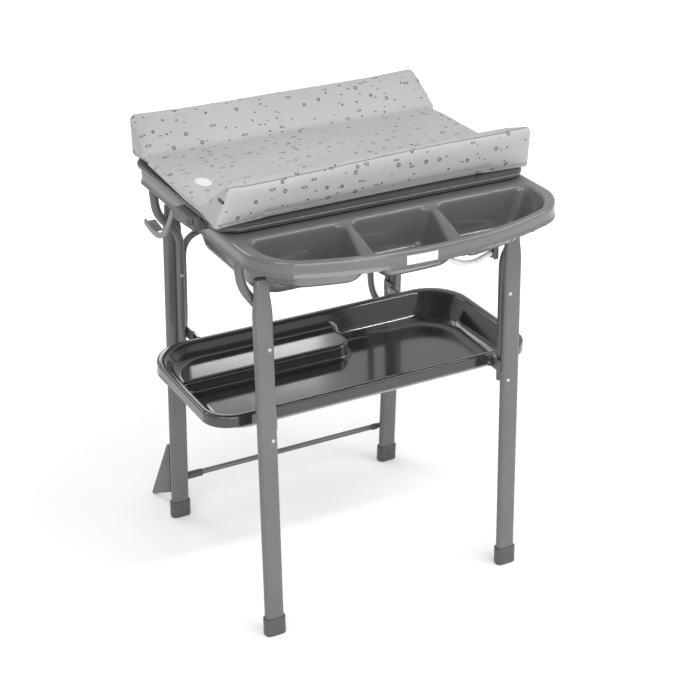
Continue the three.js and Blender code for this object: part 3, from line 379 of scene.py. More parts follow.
@dataclass(frozen=True)
class MilkyHose:
    """Translucent white hose with a faint cloudy tone."""

    name: str = "milky_hose"

    def build(self) -> bpy.types.Material:
        """Makes the material."""
        sheet = Sheet(self.name)
        cloud = sheet.ramp(sheet.noise(50.0, 2.0), 0.3, 0.7, 0.0, 1.0)
        sheet.drive("Base Color", sheet.blend(cloud, (0.82, 0.83, 0.82), (0.9, 0.91, 0.9)))
        sheet.drive("Roughness", sheet.ramp(cloud, 0.0, 1.0, 0.22, 0.34))
        sheet.relief(sheet.noise(500.0, 1.0), 0.00003, 0.4)
        sheet.socket("Transmission Weight", 0.08)
        sheet.socket("Subsurface Weight", 0.25)
        sheet.socket("Subsurface Scale", 0.01)
        return sheet.material


@dataclass(frozen=True)
class FloorPaint:
    """Pale studio floor that shows white to the camera but keeps the object's shadow."""

    name: str = "studio_floor"
    near: float = 0.8
    far: float = 2.0
    lift: float = 0.14
    far_lift: float = 0.5

    def build(self) -> bpy.types.Material:
        """Makes the material."""
        sheet = Sheet(self.name)
        sheet.socket("Base Color", (0.9, 0.9, 0.9, 1.0))
        sheet.socket("Roughness", 0.6)
        sheet.socket("Specular IOR Level", 0.1)
        rays = sheet.add("LightPath")
        sheet.socket("Emission Color", (1.0, 1.0, 1.0, 1.0))
        reach = sheet.add("VectorMath", operation="LENGTH")
        sheet.join(sheet.place(), reach.inputs[0])
        lift = sheet.ramp(reach.outputs["Value"], self.near, self.far, self.lift, self.far_lift)
        sheet.drive("Emission Strength", sheet.math("MULTIPLY", rays.outputs["Is Camera Ray"], lift))
        return sheet.material


@dataclass
class Finishes:
    """Every finish on the table, made once."""

    tube: bpy.types.Material = field(init=False)
    bath: bpy.types.Material = field(init=False)
    tray: bpy.types.Material = field(init=False)
    cap: bpy.types.Material = field(init=False)
    board: bpy.types.Material = field(init=False)
    lever: bpy.types.Material = field(init=False)
    cloth: bpy.types.Material = field(init=False)
    piping: bpy.types.Material = field(init=False)
    steel: bpy.types.Material = field(init=False)
    hose: bpy.types.Material = field(init=False)
    plate: bpy.types.Material = field(init=False)

    def __post_init__(self) -> None:
        """Builds the materials."""
        self.tube = PaintedTube().build()
        self.bath = Moulding("bath_moulding", (0.124, 0.124, 0.126), 0.14, grain=500.0,
                             grain_height=0.00001, variation=0.05, coat=0.6).build()
        self.tray = Moulding("tray_moulding", (0.028, 0.028, 0.029), 0.12, grain=400.0,
                             grain_height=0.000006, variation=0.05, coat=1.0).build()
        self.cap = Moulding("cap_moulding", (0.085, 0.085, 0.087), 0.36, grain_height=0.00004).build()
        self.board = Moulding("board_moulding", (0.05, 0.05, 0.052), 0.2, grain_height=0.00001,
                              coat=0.6).build()
        self.lever = Moulding("lever_moulding", (0.24, 0.24, 0.245), 0.4).build()
        self.cloth = CoatedCloth().build()
        self.piping = Moulding("dark_piping", (0.2, 0.2, 0.204), 0.5, grain=1400.0).build()
        self.steel = BrightSteel().build()
        self.hose = MilkyHose().build()
        self.plate = Moulding("pale_plate", (0.68, 0.68, 0.68), 0.35, variation=0.02).build()


# Mesh building


def add_object(name: str, data: bpy.types.ID) -> bpy.types.Object:
    """Puts new data into the scene as an object."""
    made = bpy.data.objects.new(name, data)
    bpy.context.scene.collection.objects.link(made)
    return made


def curve(share: np.ndarray, shares: Sequence[Pair]) -> np.ndarray:
    """Reads a curve given by its points, held at both ends."""
    return np.interp(share, *zip(*shares))


@dataclass
class Skin:
    """Points and faces of a mesh on its way to a piece."""

    points: list[Point] = field(default_factory=list)
    faces: list[tuple[int, ...]] = field(default_factory=list)

    def take(self, points: Sequence[Sequence[float]], faces: Sequence[Sequence[int]]) -> None:
        """Adds more points and faces.

        Args:
            points: the new points.
            faces: faces that count the new points from 0.
        """
        start = len(self.points)
        self.points.extend(tuple(float(v) for v in p) for p in points)
        self.faces.extend(tuple(int(i) + start for i in f) for f in faces)

    def loft(self, rings: Sequence[Sequence[Point]]) -> None:
        """Joins rings of equal count into a closed skin.

        Args:
            rings: closed rings, each the next one's neighbour.
        """
        count = len(rings[0])
        points = [p for ring in rings for p in ring]
        faces: list[tuple[int, ...]] = []
        for level in range(len(rings) - 1):
            low, high = level * count, (level + 1) * count
            for i in range(count):
                j = (i + 1) % count
                faces.append((low + i, low + j, high + j, high + i))
        faces.append(tuple(reversed(range(count))))
        faces.append(tuple(range(len(points) - count, len(points))))
        self.take(points, faces)

    def piece(self, name: str, material: bpy.types.Material, sharp_degrees: float = 40.0) -> bpy.types.Object:
        """Makes the piece.

        Args:
            name: the piece's name.
            material: its finish.
            sharp_degrees: edges that turn more than this stay sharp.

        Returns:
            The new object.
        """
        mesh = bpy.data.meshes.new(name)
        mesh.from_pydata(self.points, [], self.faces)
        made = bmesh.new()
        made.from_mesh(mesh)
        bmesh.ops.remove_doubles(made, verts=made.verts, dist=1e-6)
        bmesh.ops.recalc_face_normals(made, faces=made.faces)
        made.to_mesh(mesh)
        made.free()
        mesh.materials.append(material)
        mesh.shade_smooth()
        mesh.set_sharp_from_angle(angle=math.radians(sharp_degrees))
        return add_object(name, mesh)


def sweep_rings(path: Sequence[Vector], radius: float, sides: int,
                radii: Sequence[float] | None = None) -> list[list[Point]]:
    """Rings of a round tube along a path, without twist.

    Args:
        path: the points that the tube follows.
        radius: the tube's radius.
        sides: points per ring.
        radii: a radius of its own for each point, if any.

    Returns:
        The rings.
    """
    rings = []
    side = None
    for i, here in enumerate(path):
        ahead = (path[min(i + 1, len(path) - 1)] - path[max(i - 1, 0)]).normalized()
        if side is None:
            side = ahead.orthogonal().normalized()
        side = (side - ahead * side.dot(ahead)).normalized()
        up = ahead.cross(side)
        r = radii[i] if radii else radius
        rings.append([tuple(here + (side * math.cos(a) + up * math.sin(a)) * r)
                      for a in (2 * math.pi * k / sides for k in range(sides))])
    return rings


def rounded_route(knots: Sequence[Vector], run: float, steps: int) -> list[Vector]:
    """Straight runs with rounded bends between them.

    Args:
        knots: the route's corners.
        run: how far from a corner its bend starts.
        steps: points along each bend.

    Returns:
        The route's points.
    """
    route = [knots[0].copy()]
    for before, here, after in zip(knots, knots[1:], knots[2:]):
        into = here + (before - here).normalized() * min(run, (before - here).length * 0.45)
        out = here + (after - here).normalized() * min(run, (after - here).length * 0.45)
        for k in range(steps + 1):
            t = k / steps
            route.append(into * (1 - t) ** 2 + here * 2 * t * (1 - t) + out * t * t)
    route.append(knots[-1].copy())
    return route


def oval_ring(width: float, depth: float, radius: float, x: float, y: float, z: float,
              steps: int = 8) -> list[Point]:
    """A flat oval with rounded corners.

    Args:
        width: its length along X.
        depth: its length along Y.
        radius: its corners' radius.
        x: its middle along X.
        y: its middle along Y.
        z: its height.
        steps: points per corner.

    Returns:
        The ring's points.
    """
    ring = []
    for sx, sy, start in ((1, 1, 0), (-1, 1, 1), (-1, -1, 2), (1, -1, 3)):
        cx, cy = x + sx * (width / 2 - radius), y + sy * (depth / 2 - radius)
        for k in range(steps + 1):
            a = math.pi / 2 * (start + k / steps)
            ring.append((cx + radius * math.cos(a), cy + radius * math.sin(a), z))
    return ring


def beveled_copy(node: str, material: bpy.types.Material, width: float, body: str,
                 segments: int = 2) -> bpy.types.Object:
    """A copy of a CAD node with its sharp edges eased, which stands for the node.

    Args:
        node: the CAD node.
        material: the finish.
        width: how far the easing reaches from an edge.
        body: the body that it rides on.
        segments: steps across the easing.

    Returns:
        The new piece.
    """
    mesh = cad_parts[node].data.copy()
    made = bmesh.new()
    made.from_mesh(mesh)
    bmesh.ops.remove_doubles(made, verts=made.verts, dist=2e-6)
    bmesh.ops.dissolve_limit(made, angle_limit=math.radians(1.0), verts=made.verts, edges=made.edges)
    edges = [e for e in made.edges if len(e.link_faces) == 2 and e.calc_face_angle(0.0) > math.radians(38)]
    bmesh.ops.bevel(made, geom=edges, offset=width, segments=segments, profile=0.6, affect="EDGES",
                    clamp_overlap=True)
    made.to_mesh(mesh)
    made.free()
    mesh.materials.clear()
    mesh.materials.append(material)
    mesh.shade_smooth()
    mesh.set_sharp_from_angle(angle=math.radians(35))
    piece = add_object(f"{node}_eased", mesh)
    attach(piece, body)
    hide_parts(node)
    return piece


def round_cut(a: np.ndarray, b: np.ndarray, r: float) -> np.ndarray:
    """Where two solids meet, with the edge rounded.

    Args:
        a: signed distance to the first.
        b: signed distance to the second.
        r: the rounding's radius.

    Returns:
        Signed distance to what they share.
    """
    u, v = np.maximum(a + r, 0), np.maximum(b + r, 0)
    return np.minimum(-r, np.maximum(a, b)) + np.sqrt(u * u + v * v)


def round_join(a: np.ndarray, b: np.ndarray, r: float) -> np.ndarray:
    """Two solids joined, with the inner corner filled to a radius."""
    return -round_cut(-a, -b, r)


class ShellMaker:
    """Turns a solid given by signed distance into a smooth thin shell under its surface."""

    probe = 0.0004
    least_slope = 0.2
    relax_rounds = 2
    smooth_rounds = 8
    sharp_degrees = 50

    def __init__(self, shape: Field, low: Point, high: Point, step: float) -> None:
        """Keeps the shape and the box that holds its surface.

        Args:
            shape: signed distance, below 0 inside.
            low: the box's lowest corner.
            high: the box's highest corner.
            step: the grid's step.
        """
        self.shape = shape
        self.low = np.array(low)
        self.high = np.array(high)
        self.step = step

    def surface(self) -> tuple[np.ndarray, np.ndarray]:
        """Points and four-cornered faces of the surface."""
        counts = np.ceil((self.high - self.low) / self.step).astype(int) + 1
        axes = [self.low[d] + self.step * np.arange(counts[d]) for d in range(3)]
        values = self.shape(*np.meshgrid(*axes, indexing="ij"))
        inside = values < 0
        corners = [(i, j, k) for i in (0, 1) for j in (0, 1) for k in (0, 1)]
        sizes = [c - 1 for c in counts]

        def part(grid: np.ndarray, corner: tuple[int, int, int]) -> np.ndarray:
            """The grid seen from one corner of each cell."""
            i, j, k = corner
            return grid[i:i + sizes[0], j:j + sizes[1], k:k + sizes[2]]

        total = sum(part(inside, c).astype(int) for c in corners)
        active = (total > 0) & (total < 8)
        cells = np.argwhere(active)
        index = np.full(active.shape, -1)
        index[active] = np.arange(len(cells))
        sums, hits = np.zeros((len(cells), 3)), np.zeros(len(cells))
        for a in corners:
            for d in range(3):
                if a[d]:
                    continue
                b = tuple(v + (1 if n == d else 0) for n, v in enumerate(a))
                va = values[tuple((cells + a).T)]
                vb = values[tuple((cells + b).T)]
                cross = (va < 0) != (vb < 0)
                t = va[cross] / (va[cross] - vb[cross])
                place = cells[cross] + np.array(a, float)
                place[:, d] += t
                sums[cross] += place
                hits[cross] += 1
        points = self.low + self.step * sums / hits[:, None]
        faces = []
        for d in range(3):
            e, f = (d + 1) % 3, (d + 2) % 3
            ahead = [slice(None)] * 3
            behind = [slice(None)] * 3
            ahead[d], behind[d] = slice(1, None), slice(None, -1)
            change = inside[tuple(ahead)] != inside[tuple(behind)]
            spots = np.argwhere(change)
            keep = (spots[:, e] > 0) & (spots[:, f] > 0) & (spots[:, e] < sizes[e]) & (spots[:, f] < sizes[f])
            spots = spots[keep]
            quad = []
            for de, df in ((-1, -1), (0, -1), (0, 0), (-1, 0)):
                cell = spots.copy()
                cell[:, e] += de
                cell[:, f] += df
                quad.append(index[tuple(cell.T)])
            quad = np.stack(quad, 1)
            flip = ~inside[tuple(spots.T)]
            quad[flip] = quad[flip][:, ::-1]
            faces.append(quad[(quad >= 0).all(1)])
        return points, np.concatenate(faces)

    def slope(self, points: np.ndarray) -> np.ndarray:
        """The shape's gradient at each point."""
        slopes = np.zeros_like(points)
        for d in range(3):
            step = np.zeros(3)
            step[d] = self.probe
            ahead, behind = self.shape(*(points + step).T), self.shape(*(points - step).T)
            slopes[:, d] = (ahead - behind) / (2 * self.probe)
        return slopes

    def settle(self, points: np.ndarray, rounds: int = 4) -> np.ndarray:
        """Moves points onto the surface itself."""
        for _ in range(rounds):
            g = self.slope(points)
            move = -self.shape(*points.T)[:, None] * g / np.maximum((g * g).sum(1), self.least_slope)[:, None]
            far = np.linalg.norm(move, axis=1, keepdims=True)
            points = points + move * np.minimum(1.0, self.step * 0.5 / np.maximum(far, 1e-9))
        return points

    @staticmethod
    def relax(values: np.ndarray, pairs: np.ndarray, free: np.ndarray, rounds: int) -> np.ndarray:
        """Draws each point's values half-way to its neighbours' mean.

        Args:
            values: one row a point.
            pairs: the points joined by edges.
            free: 1 for a point that may change, 0 for one that stays.
            rounds: how many times.

        Returns:
            The new values.
        """
        near = np.maximum(np.bincount(pairs[:, 0], minlength=len(values)), 1)[:, None]
        for _ in range(rounds):
            total = [np.bincount(pairs[:, 0], values[pairs[:, 1], d], len(values)) for d in range(3)]
            values = values + free * 0.5 * (np.stack(total, 1) / near - values)
        return values

    def shell(self, name: str, wall: float, keep: Callable[[np.ndarray], np.ndarray],
              material: bpy.types.Material) -> bpy.types.Object:
        """The closed shell between the surface and a second skin under it.

        Args:
            name: the piece's name.
            wall: the wall's thickness.
            keep: says of face middles which stay.
            material: the finish.

        Returns:
            The new object.
        """
        points, faces = self.surface()
        faces = faces[keep(points[faces].mean(1))]
        used = np.unique(faces)
        renumber = np.full(len(points), -1)
        renumber[used] = np.arange(len(used))
        points, faces = self.settle(points[used]), renumber[faces]
        count = len(points)
        edges = dict.fromkeys((a, b) for face in faces.tolist() for a, b in zip(face, face[1:] + face[:1]))
        rim = [(a, b) for a, b in edges if (b, a) not in edges]
        pairs = np.array(list(edges))
        every = np.ones((count, 1))
        free = every.copy()
        free[np.unique(np.array(rim))] = 0.0
        points = self.settle(self.relax(points, pairs, free, self.relax_rounds), 2)
        g = self.slope(points)
        normals = g / np.maximum(np.linalg.norm(g, axis=1, keepdims=True), 1e-9)
        normals = self.relax(normals, pairs, every, self.smooth_rounds)
        normals /= np.maximum(np.linalg.norm(normals, axis=1, keepdims=True), 1e-9)
        inner = faces[:, ::-1] + count
        walls = [(b, a, a + count, b + count) for a, b in rim]
        mesh = bpy.data.meshes.new(name)
        mesh.from_pydata(np.concatenate([points, points - normals * wall]).tolist(), [],
                         faces.tolist() + inner.tolist() + walls)
        mesh.materials.append(material)
        mesh.shade_smooth()
        mesh.set_sharp_from_angle(angle=math.radians(self.sharp_degrees))
        mesh.update()
        return add_object(name, mesh)


# The studio


@dataclass(frozen=True)
class Lamp:
    """One soft oblong lamp."""

    name: str
    place: Point
    target: Point
    width: float
    height: float
    power: float

    def hang(self) -> None:
        """Hangs the lamp so that it looks at its target."""
        data = bpy.data.lights.new(self.name, "AREA")
        data.shape, data.size, data.size_y, data.energy = "RECTANGLE", self.width, self.height, self.power
        lamp = add_object(self.name, data)
        lamp.location = self.place
        lamp.rotation_euler = (Vector(self.target) - Vector(self.place)).to_track_quat("-Z", "Y").to_euler()


@dataclass
class Studio:
    """Camera, lamps, floor and background."""

    eye: Point = (-1.6515, -3.1304, 2.28765)
    pitch: float = 26.529
    azimuth: float = 28.185
    lens: float = 88.54
    floor_half: float = 14.0
    ambient: float = 0.66
    lamps: tuple[Lamp, ...] = (
        Lamp("key_lamp", (-2.6, -2.2, 3.6), (0, 0, 0.7), 2.2, 2.2, 44),
        Lamp("front_lamp", (-0.6, -3.9, 1.5), (0, 0, 0.7), 2.4, 2.4, 50),
        Lamp("fill_lamp", (3.2, -2.0, 2.4), (0, 0, 0.6), 2.2, 2.2, 34),
        Lamp("mirror_lamp", (1.06, 3.37, 2.05), (-0.2, 0.1, 0.5), 1.1, 0.44, 5),
        Lamp("edge_lamp", (1.5, -2.3, 3.9), (1.5, 0, 0.9), 2.6, 0.22, 52),
        Lamp("back_lamp", (-1.6, 3.0, 3.4), (0, 0, 0.8), 1.8, 1.8, 30),
    )

    def camera(self) -> None:
        """Sets the camera at the photograph's angle."""
        data = bpy.data.cameras.new("studio_camera")
        data.lens, data.sensor_width, data.clip_end = self.lens, 36.0, 60.0
        camera = add_object("studio_camera", data)
        camera.location = self.eye
        camera.rotation_euler = Euler((math.radians(90 - self.pitch), 0.0, math.radians(-self.azimuth)))
        bpy.context.scene.camera = camera

    def floor(self) -> None:
        """Lays the floor."""
        half = self.floor_half
        skin = Skin()
        skin.take([(-half, -half, 0), (half, -half, 0), (half, half, 0), (-half, half, 0)], [(0, 1, 2, 3)])
        floor = skin.piece("floor", FloorPaint().build())

    def world(self) -> None:
        """A pale world that shows white behind the object."""
        world = bpy.data.worlds.new("studio_world")
        world.use_nodes = True
        tree = world.node_tree
        background = tree.nodes["Background"]
        background.inputs["Color"].default_value = (1.0, 1.0, 1.0, 1.0)
        rays = tree.nodes.new("ShaderNodeLightPath")
        strength = tree.nodes.new("ShaderNodeMapRange")
        strength.inputs["To Min"].default_value = self.ambient
        strength.inputs["To Max"].default_value = 1.0
        tree.links.new(rays.outputs["Is Camera Ray"], strength.inputs["Value"])
        tree.links.new(strength.outputs["Result"], background.inputs["Strength"])
        bpy.context.scene.world = world

    def build(self) -> None:
        """Builds the whole studio but the camera."""
        self.floor()
        self.world()
        for lamp in self.lamps:
            lamp.hang()
        bpy.context.scene.view_settings.view_transform = "Standard"


# The table's sub-assemblies


@dataclass
class DrainHose:
    """The short milky hose from the bath's spigot to its clip."""

    radius: float = 0.0065
    sides: int = 20
    steps: int = 4
    route: tuple[Point, ...] = (
        (120, -151, 138), (120, -166, 138), (128, -184, 140), (150, -198, 145), (190, -200, 163),
        (222, -200, 166), (248, -200, 158), (262, -200, 154), (276, -200, 153),
    )

    def knots(self) -> list[Vector]:
        """The route's points in metres."""
        return [Vector((x / 1000, y / 1000 - SHIFT, RIM - drop / 1000)) for x, y, drop in self.route]

    def line(self) -> list[Vector]:
        """A smooth line through the route's points."""
        knots = self.knots()
        points = []
        for i in range(len(knots) - 1):
            a, b = knots[max(i - 1, 0)], knots[i]
            c, d = knots[i + 1], knots[min(i + 2, len(knots) - 1)]
            for k in range(self.steps):
                t = k / self.steps
                points.append(0.5 * (2 * b + (c - a) * t + (2 * a - 5 * b + 4 * c - d) * t * t
                                     + (3 * b - 3 * c + d - a) * t ** 3))
        points.append(knots[-1])
        return points

    def build(self, finishes: Finishes) -> bpy.types.Object:
        """Makes the hose.

        Args:
            finishes: the table's finishes.

        Returns:
            The hose.
        """
        line = self.line()
        skin = Skin()
        skin.loft(sweep_rings(line, self.radius, self.sides))
        hose = skin.piece("drain_hose_run", finishes.hose)
        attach(hose, Body.BATH.value)
        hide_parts("drain_hose")
        return hose


@dataclass
class Bathtub:
    """The moulded bath: basin, compartments, rim and skirt, with the pivots under its rail."""

    half: float = 0.363
    front: float = 0.417
    back: float = 0.300
    bow_radius: float = 0.779
    bow: float = math.radians(21.9)
    corner: float = 0.070
    back_corner: float = 0.040
    skirt: float = 0.035
    margin: float = 0.014
    side_margin: float = 0.033
    pod_back: float = 0.217
    pod_depth: float = 0.091
    pod_corner: float = 0.055
    front_draft: float = 0.084
    end_draft: float = 0.034
    side_draft: float = 0.022
    dividers: tuple[float, float] = (-0.108, 0.096)
    divider: float = 0.014
    basin_half: float = 0.297
    basin_front: float = 0.134
    basin_back: float = 0.247
    basin_depth: float = 0.193
    basin_corner: float = 0.062
    crest_drop: float = 0.064
    pod_round: float = 0.022
    pod_back_round: float = 0.018
    pod_floor_round: float = 0.016
    basin_side_draft: float = 0.062
    basin_end_draft: float = 0.038
    basin_floor_round: float = 0.032
    rim_round: float = 0.0065
    flange: float = 0.003
    flange_height: float = 0.009
    bead_width: float = 0.009
    bead_height: float = 0.002
    drain: Pair = (0.120, 0.040)
    drain_radius: float = 0.017
    spigot_height: float = 0.806
    ear_gap: float = 0.011
    ear_width: float = 0.004
    ear_half: float = 0.013
    ear_drop: float = 0.012
    ear_top: float = 0.9425
    wall: float = 0.003
    grid: float = 0.0048

    def bow_distance(self, x: np.ndarray, y: np.ndarray, inset: float) -> np.ndarray:
        """Distance to the bowed front, above 0 outside.

        Args:
            x: places along X.
            y: places along Y, before the model's shift.
            inset: how far the bow is drawn in.

        Returns:
            The distances.
        """
        centre = self.bow_radius - self.front
        across, along = np.abs(x), centre - y
        angle = np.arctan2(across, np.maximum(along, 1e-6))
        round_part = np.hypot(across, along) - self.bow_radius
        straight = across * math.sin(self.bow) + along * math.cos(self.bow) - self.bow_radius
        return np.where(angle < self.bow, round_part, straight) + inset

    def plan(self, x: np.ndarray, y: np.ndarray) -> np.ndarray:
        """Distance to the moulding's bowed plan outline, above 0 outside."""
        front = round_cut(np.abs(x) - self.half, self.bow_distance(x, y, 0.0), self.corner)
        return round_cut(front, y - self.back, self.back_corner)

    def pod(self, x: np.ndarray, y: np.ndarray, z: np.ndarray, left: float, right: float) -> np.ndarray:
        """Distance to one compartment's hollow.

        Args:
            x: places along X.
            y: places along Y.
            z: heights.
            left: its left end at the rim.
            right: its right end at the rim.

        Returns:
            The distances, below 0 in the hollow.
        """
        share = np.clip((RIM - z) / self.pod_depth, 0.0, 1.3)
        left_draft = self.end_draft if left < -self.half / 2 else self.side_draft
        right_draft = self.end_draft if right > self.half / 2 else self.side_draft
        low_side = left + left_draft * share - x
        high_side = x - (right - right_draft * share)
        slope = curve(share, ((0, 0), (0.3, 0.2), (0.62, 0.47), (0.85, 0.7), (1.3, 1.1)))
        draft = self.front_draft * (1 - 0.25 * (x / self.half) ** 2) * slope
        front = (self.bow_distance(x, y, self.margin) + draft) * 0.86
        back = y + self.pod_back + 0.001 * share
        r_low = self.pod_corner if left < -self.half / 2 else self.pod_round
        r_high = self.pod_corner if right > self.half / 2 else self.pod_round
        body = round_cut(round_cut(low_side, front, r_low), round_cut(high_side, front, r_high), 0.001)
        body = round_cut(body, back, self.pod_back_round)
        return round_cut(body, RIM - self.pod_depth - z, self.pod_floor_round)

    def crest_hollow(self, x: np.ndarray, y: np.ndarray, z: np.ndarray) -> np.ndarray:
        """Distance to the space over the dividers, whose floor falls to the front."""
        half = self.half - self.side_margin
        along = np.clip((-self.pod_back - y) / (self.front - self.pod_back), -0.2, 1.1)
        fall = ((-0.2, 0.0), (0, 0.04), (0.1, 0.09), (0.2, 0.19), (0.36, 0.41), (0.5, 0.62), (1.1, 1.48))
        drop = self.crest_drop * curve(along, fall)
        return round_cut(self.pod(x, y, z, -half, half), (RIM - drop - z) * 0.9, 0.003)

    def basin(self, x: np.ndarray, y: np.ndarray, z: np.ndarray) -> np.ndarray:
        """Distance to the basin's hollow."""
        share = np.clip((RIM - z) / self.basin_depth, 0.0, 1.2)
        draft = curve(share, ((0, 0), (0.12, 0.14), (0.5, 0.42), (0.8, 0.62), (1.2, 0.85)))
        sides = np.abs(x) - self.basin_half + self.basin_side_draft * draft
        middle = (self.basin_back - self.basin_front) / 2
        reach = (self.basin_back + self.basin_front) / 2
        ends = np.abs(y - middle) - reach + self.basin_end_draft * draft
        walls = round_cut(sides, ends, self.basin_corner)
        return round_cut(walls, RIM - self.basin_depth - z, self.basin_floor_round)

    def shape(self, x: np.ndarray, y: np.ndarray, z: np.ndarray) -> np.ndarray:
        """Distance to the moulding's top, as if it were solid below."""
        y = y + SHIFT
        outline = self.plan(x, y)
        lift = np.clip((z - (RIM - self.skirt)) / self.flange_height, 0.0, 1.0)
        flange = self.flange * (1 - lift * lift * (3 - 2 * lift))
        solid = round_cut(outline - flange, z - RIM, self.rim_round)
        middle = (self.basin_back - self.basin_front) / 2
        reach = (self.basin_back + self.basin_front) / 2 + self.bead_width
        edge = round_cut(np.abs(x) - self.basin_half - self.bead_width, np.abs(y - middle) - reach,
                         self.basin_corner + self.bead_width)
        bead = round_cut(edge, z - RIM - self.bead_height, 0.0015)
        solid = round_join(solid, bead, 0.003)
        ends = [-self.half + self.side_margin, *self.dividers, self.half - self.side_margin]
        for n in range(3):
            left = ends[n] + (self.divider / 2 if n else 0.0)
            right = ends[n + 1] - (self.divider / 2 if n < 2 else 0.0)
            solid = round_cut(solid, -self.pod(x, y, z, left, right), 0.0052)
        solid = round_cut(solid, -self.crest_hollow(x, y, z), 0.0062)
        solid = round_cut(solid, -self.basin(x, y, z), 0.005)
        drain = np.hypot(x - self.drain[0], y - self.drain[1]) - self.drain_radius
        drain = round_cut(drain, RIM - self.basin_depth - 0.006 - z, 0.001)
        return np.maximum(solid, -drain)

    def keep(self, middles: np.ndarray) -> np.ndarray:
        """Says which faces belong to the moulding and not below its skirt.

        Args:
            middles: the faces' middles.

        Returns:
            True for each face that stays.
        """
        x, y, z = middles.T
        outline = self.plan(x, y + SHIFT)
        notch = (np.abs(np.abs(x) - RAIL_X) < 0.020) & (y + SHIFT > 0.29) & (z < RIM - self.skirt + 0.024)
        off_drain = np.hypot(x - self.drain[0], y + SHIFT - self.drain[1])
        drain = (off_drain < self.drain_radius - 0.0005) & (z < RIM - self.basin_depth - 0.002)
        return ~((outline > -0.012) & (z < RIM - self.skirt)) & ~notch & ~drain

    def ears(self) -> Skin:
        """The ears under the rail that hold the bent tubes' heads, and the hose's spigot."""
        skin = Skin()
        for side in Side:
            for y in (FRONT_PIVOT_Y, REAR_PIVOT_Y):
                for face in (-1, 1):
                    near = side.value * RAIL_X + face * self.ear_gap
                    far = near + face * self.ear_width
                    rings = []
                    for x in sorted((near, far)):
                        lobe = [(x, y + self.ear_half * math.cos(a), RAIL_PIVOT + self.ear_drop * math.sin(a))
                                for a in (math.pi + math.pi * k / 12 for k in range(13))]
                        root = [(x, y + self.ear_half, self.ear_top), (x, y - self.ear_half, self.ear_top)]
                        rings.append(lobe + root)
                    skin.loft(rings)
        spout = [Vector((self.drain[0], y - SHIFT, self.spigot_height))
                 for y in (-0.112, -0.1185, -0.119, -0.122, -0.1225, -0.15)]
        radii = [0.0125, 0.0125, 0.0118, 0.0118, 0.008, 0.008]
        skin.loft(sweep_rings(spout, 0.008, 24, radii))
        return skin

    def build(self, finishes: Finishes) -> None:
        """Makes the moulding, its ears, and its small plates.

        Args:
            finishes: the table's finishes.
        """
        maker = ShellMaker(self.shape, (-0.375, -0.445, 0.740), (0.375, 0.300, 0.952), self.grid)
        moulding = maker.shell("bath_moulding", self.wall, self.keep, finishes.bath)
        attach(moulding, Body.BATH.value)
        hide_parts("tub")
        ears = self.ears().piece("rail_ears", finishes.bath)
        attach(ears, Body.BATH.value)
        self.skirt_plate(finishes)
        log.info("bath: %d faces", len(moulding.data.polygons))

    def skirt_plate(self, finishes: Finishes) -> None:
        """A blank pale plate on the front skirt, and a small one at its left corner.

        Args:
            finishes: the table's finishes.
        """
        count = 10
        plates = (("skirt_plate", (-5.5, -0.4), 0.914, 0.934), ("corner_plate", None, 0.921, 0.929))
        for name, angles, low, high in plates:
            skin = Skin()
            rings = []
            for proud in (0.0001, 0.0011):
                places = []
                for k in range(count + 1):
                    if angles:
                        a = math.radians(angles[0] + (angles[1] - angles[0]) * k / count)
                        r = self.bow_radius + proud
                        places.append((r * math.sin(a), self.bow_radius - self.front - r * math.cos(a)))
                    else:
                        a = math.radians(248 - 22 * k / count)
                        r = self.corner + proud
                        places.append((-self.half + self.corner + r * math.cos(a),
                                       -0.262 + r * math.sin(a)))
                ring = [(x, y - SHIFT, low) for x, y in places]
                rings.append(ring + [(x, y - SHIFT, high) for x, y in reversed(places)])
            skin.loft(rings)
            plate = skin.piece(name, finishes.plate, 60)
            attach(plate, Body.BATH.value)


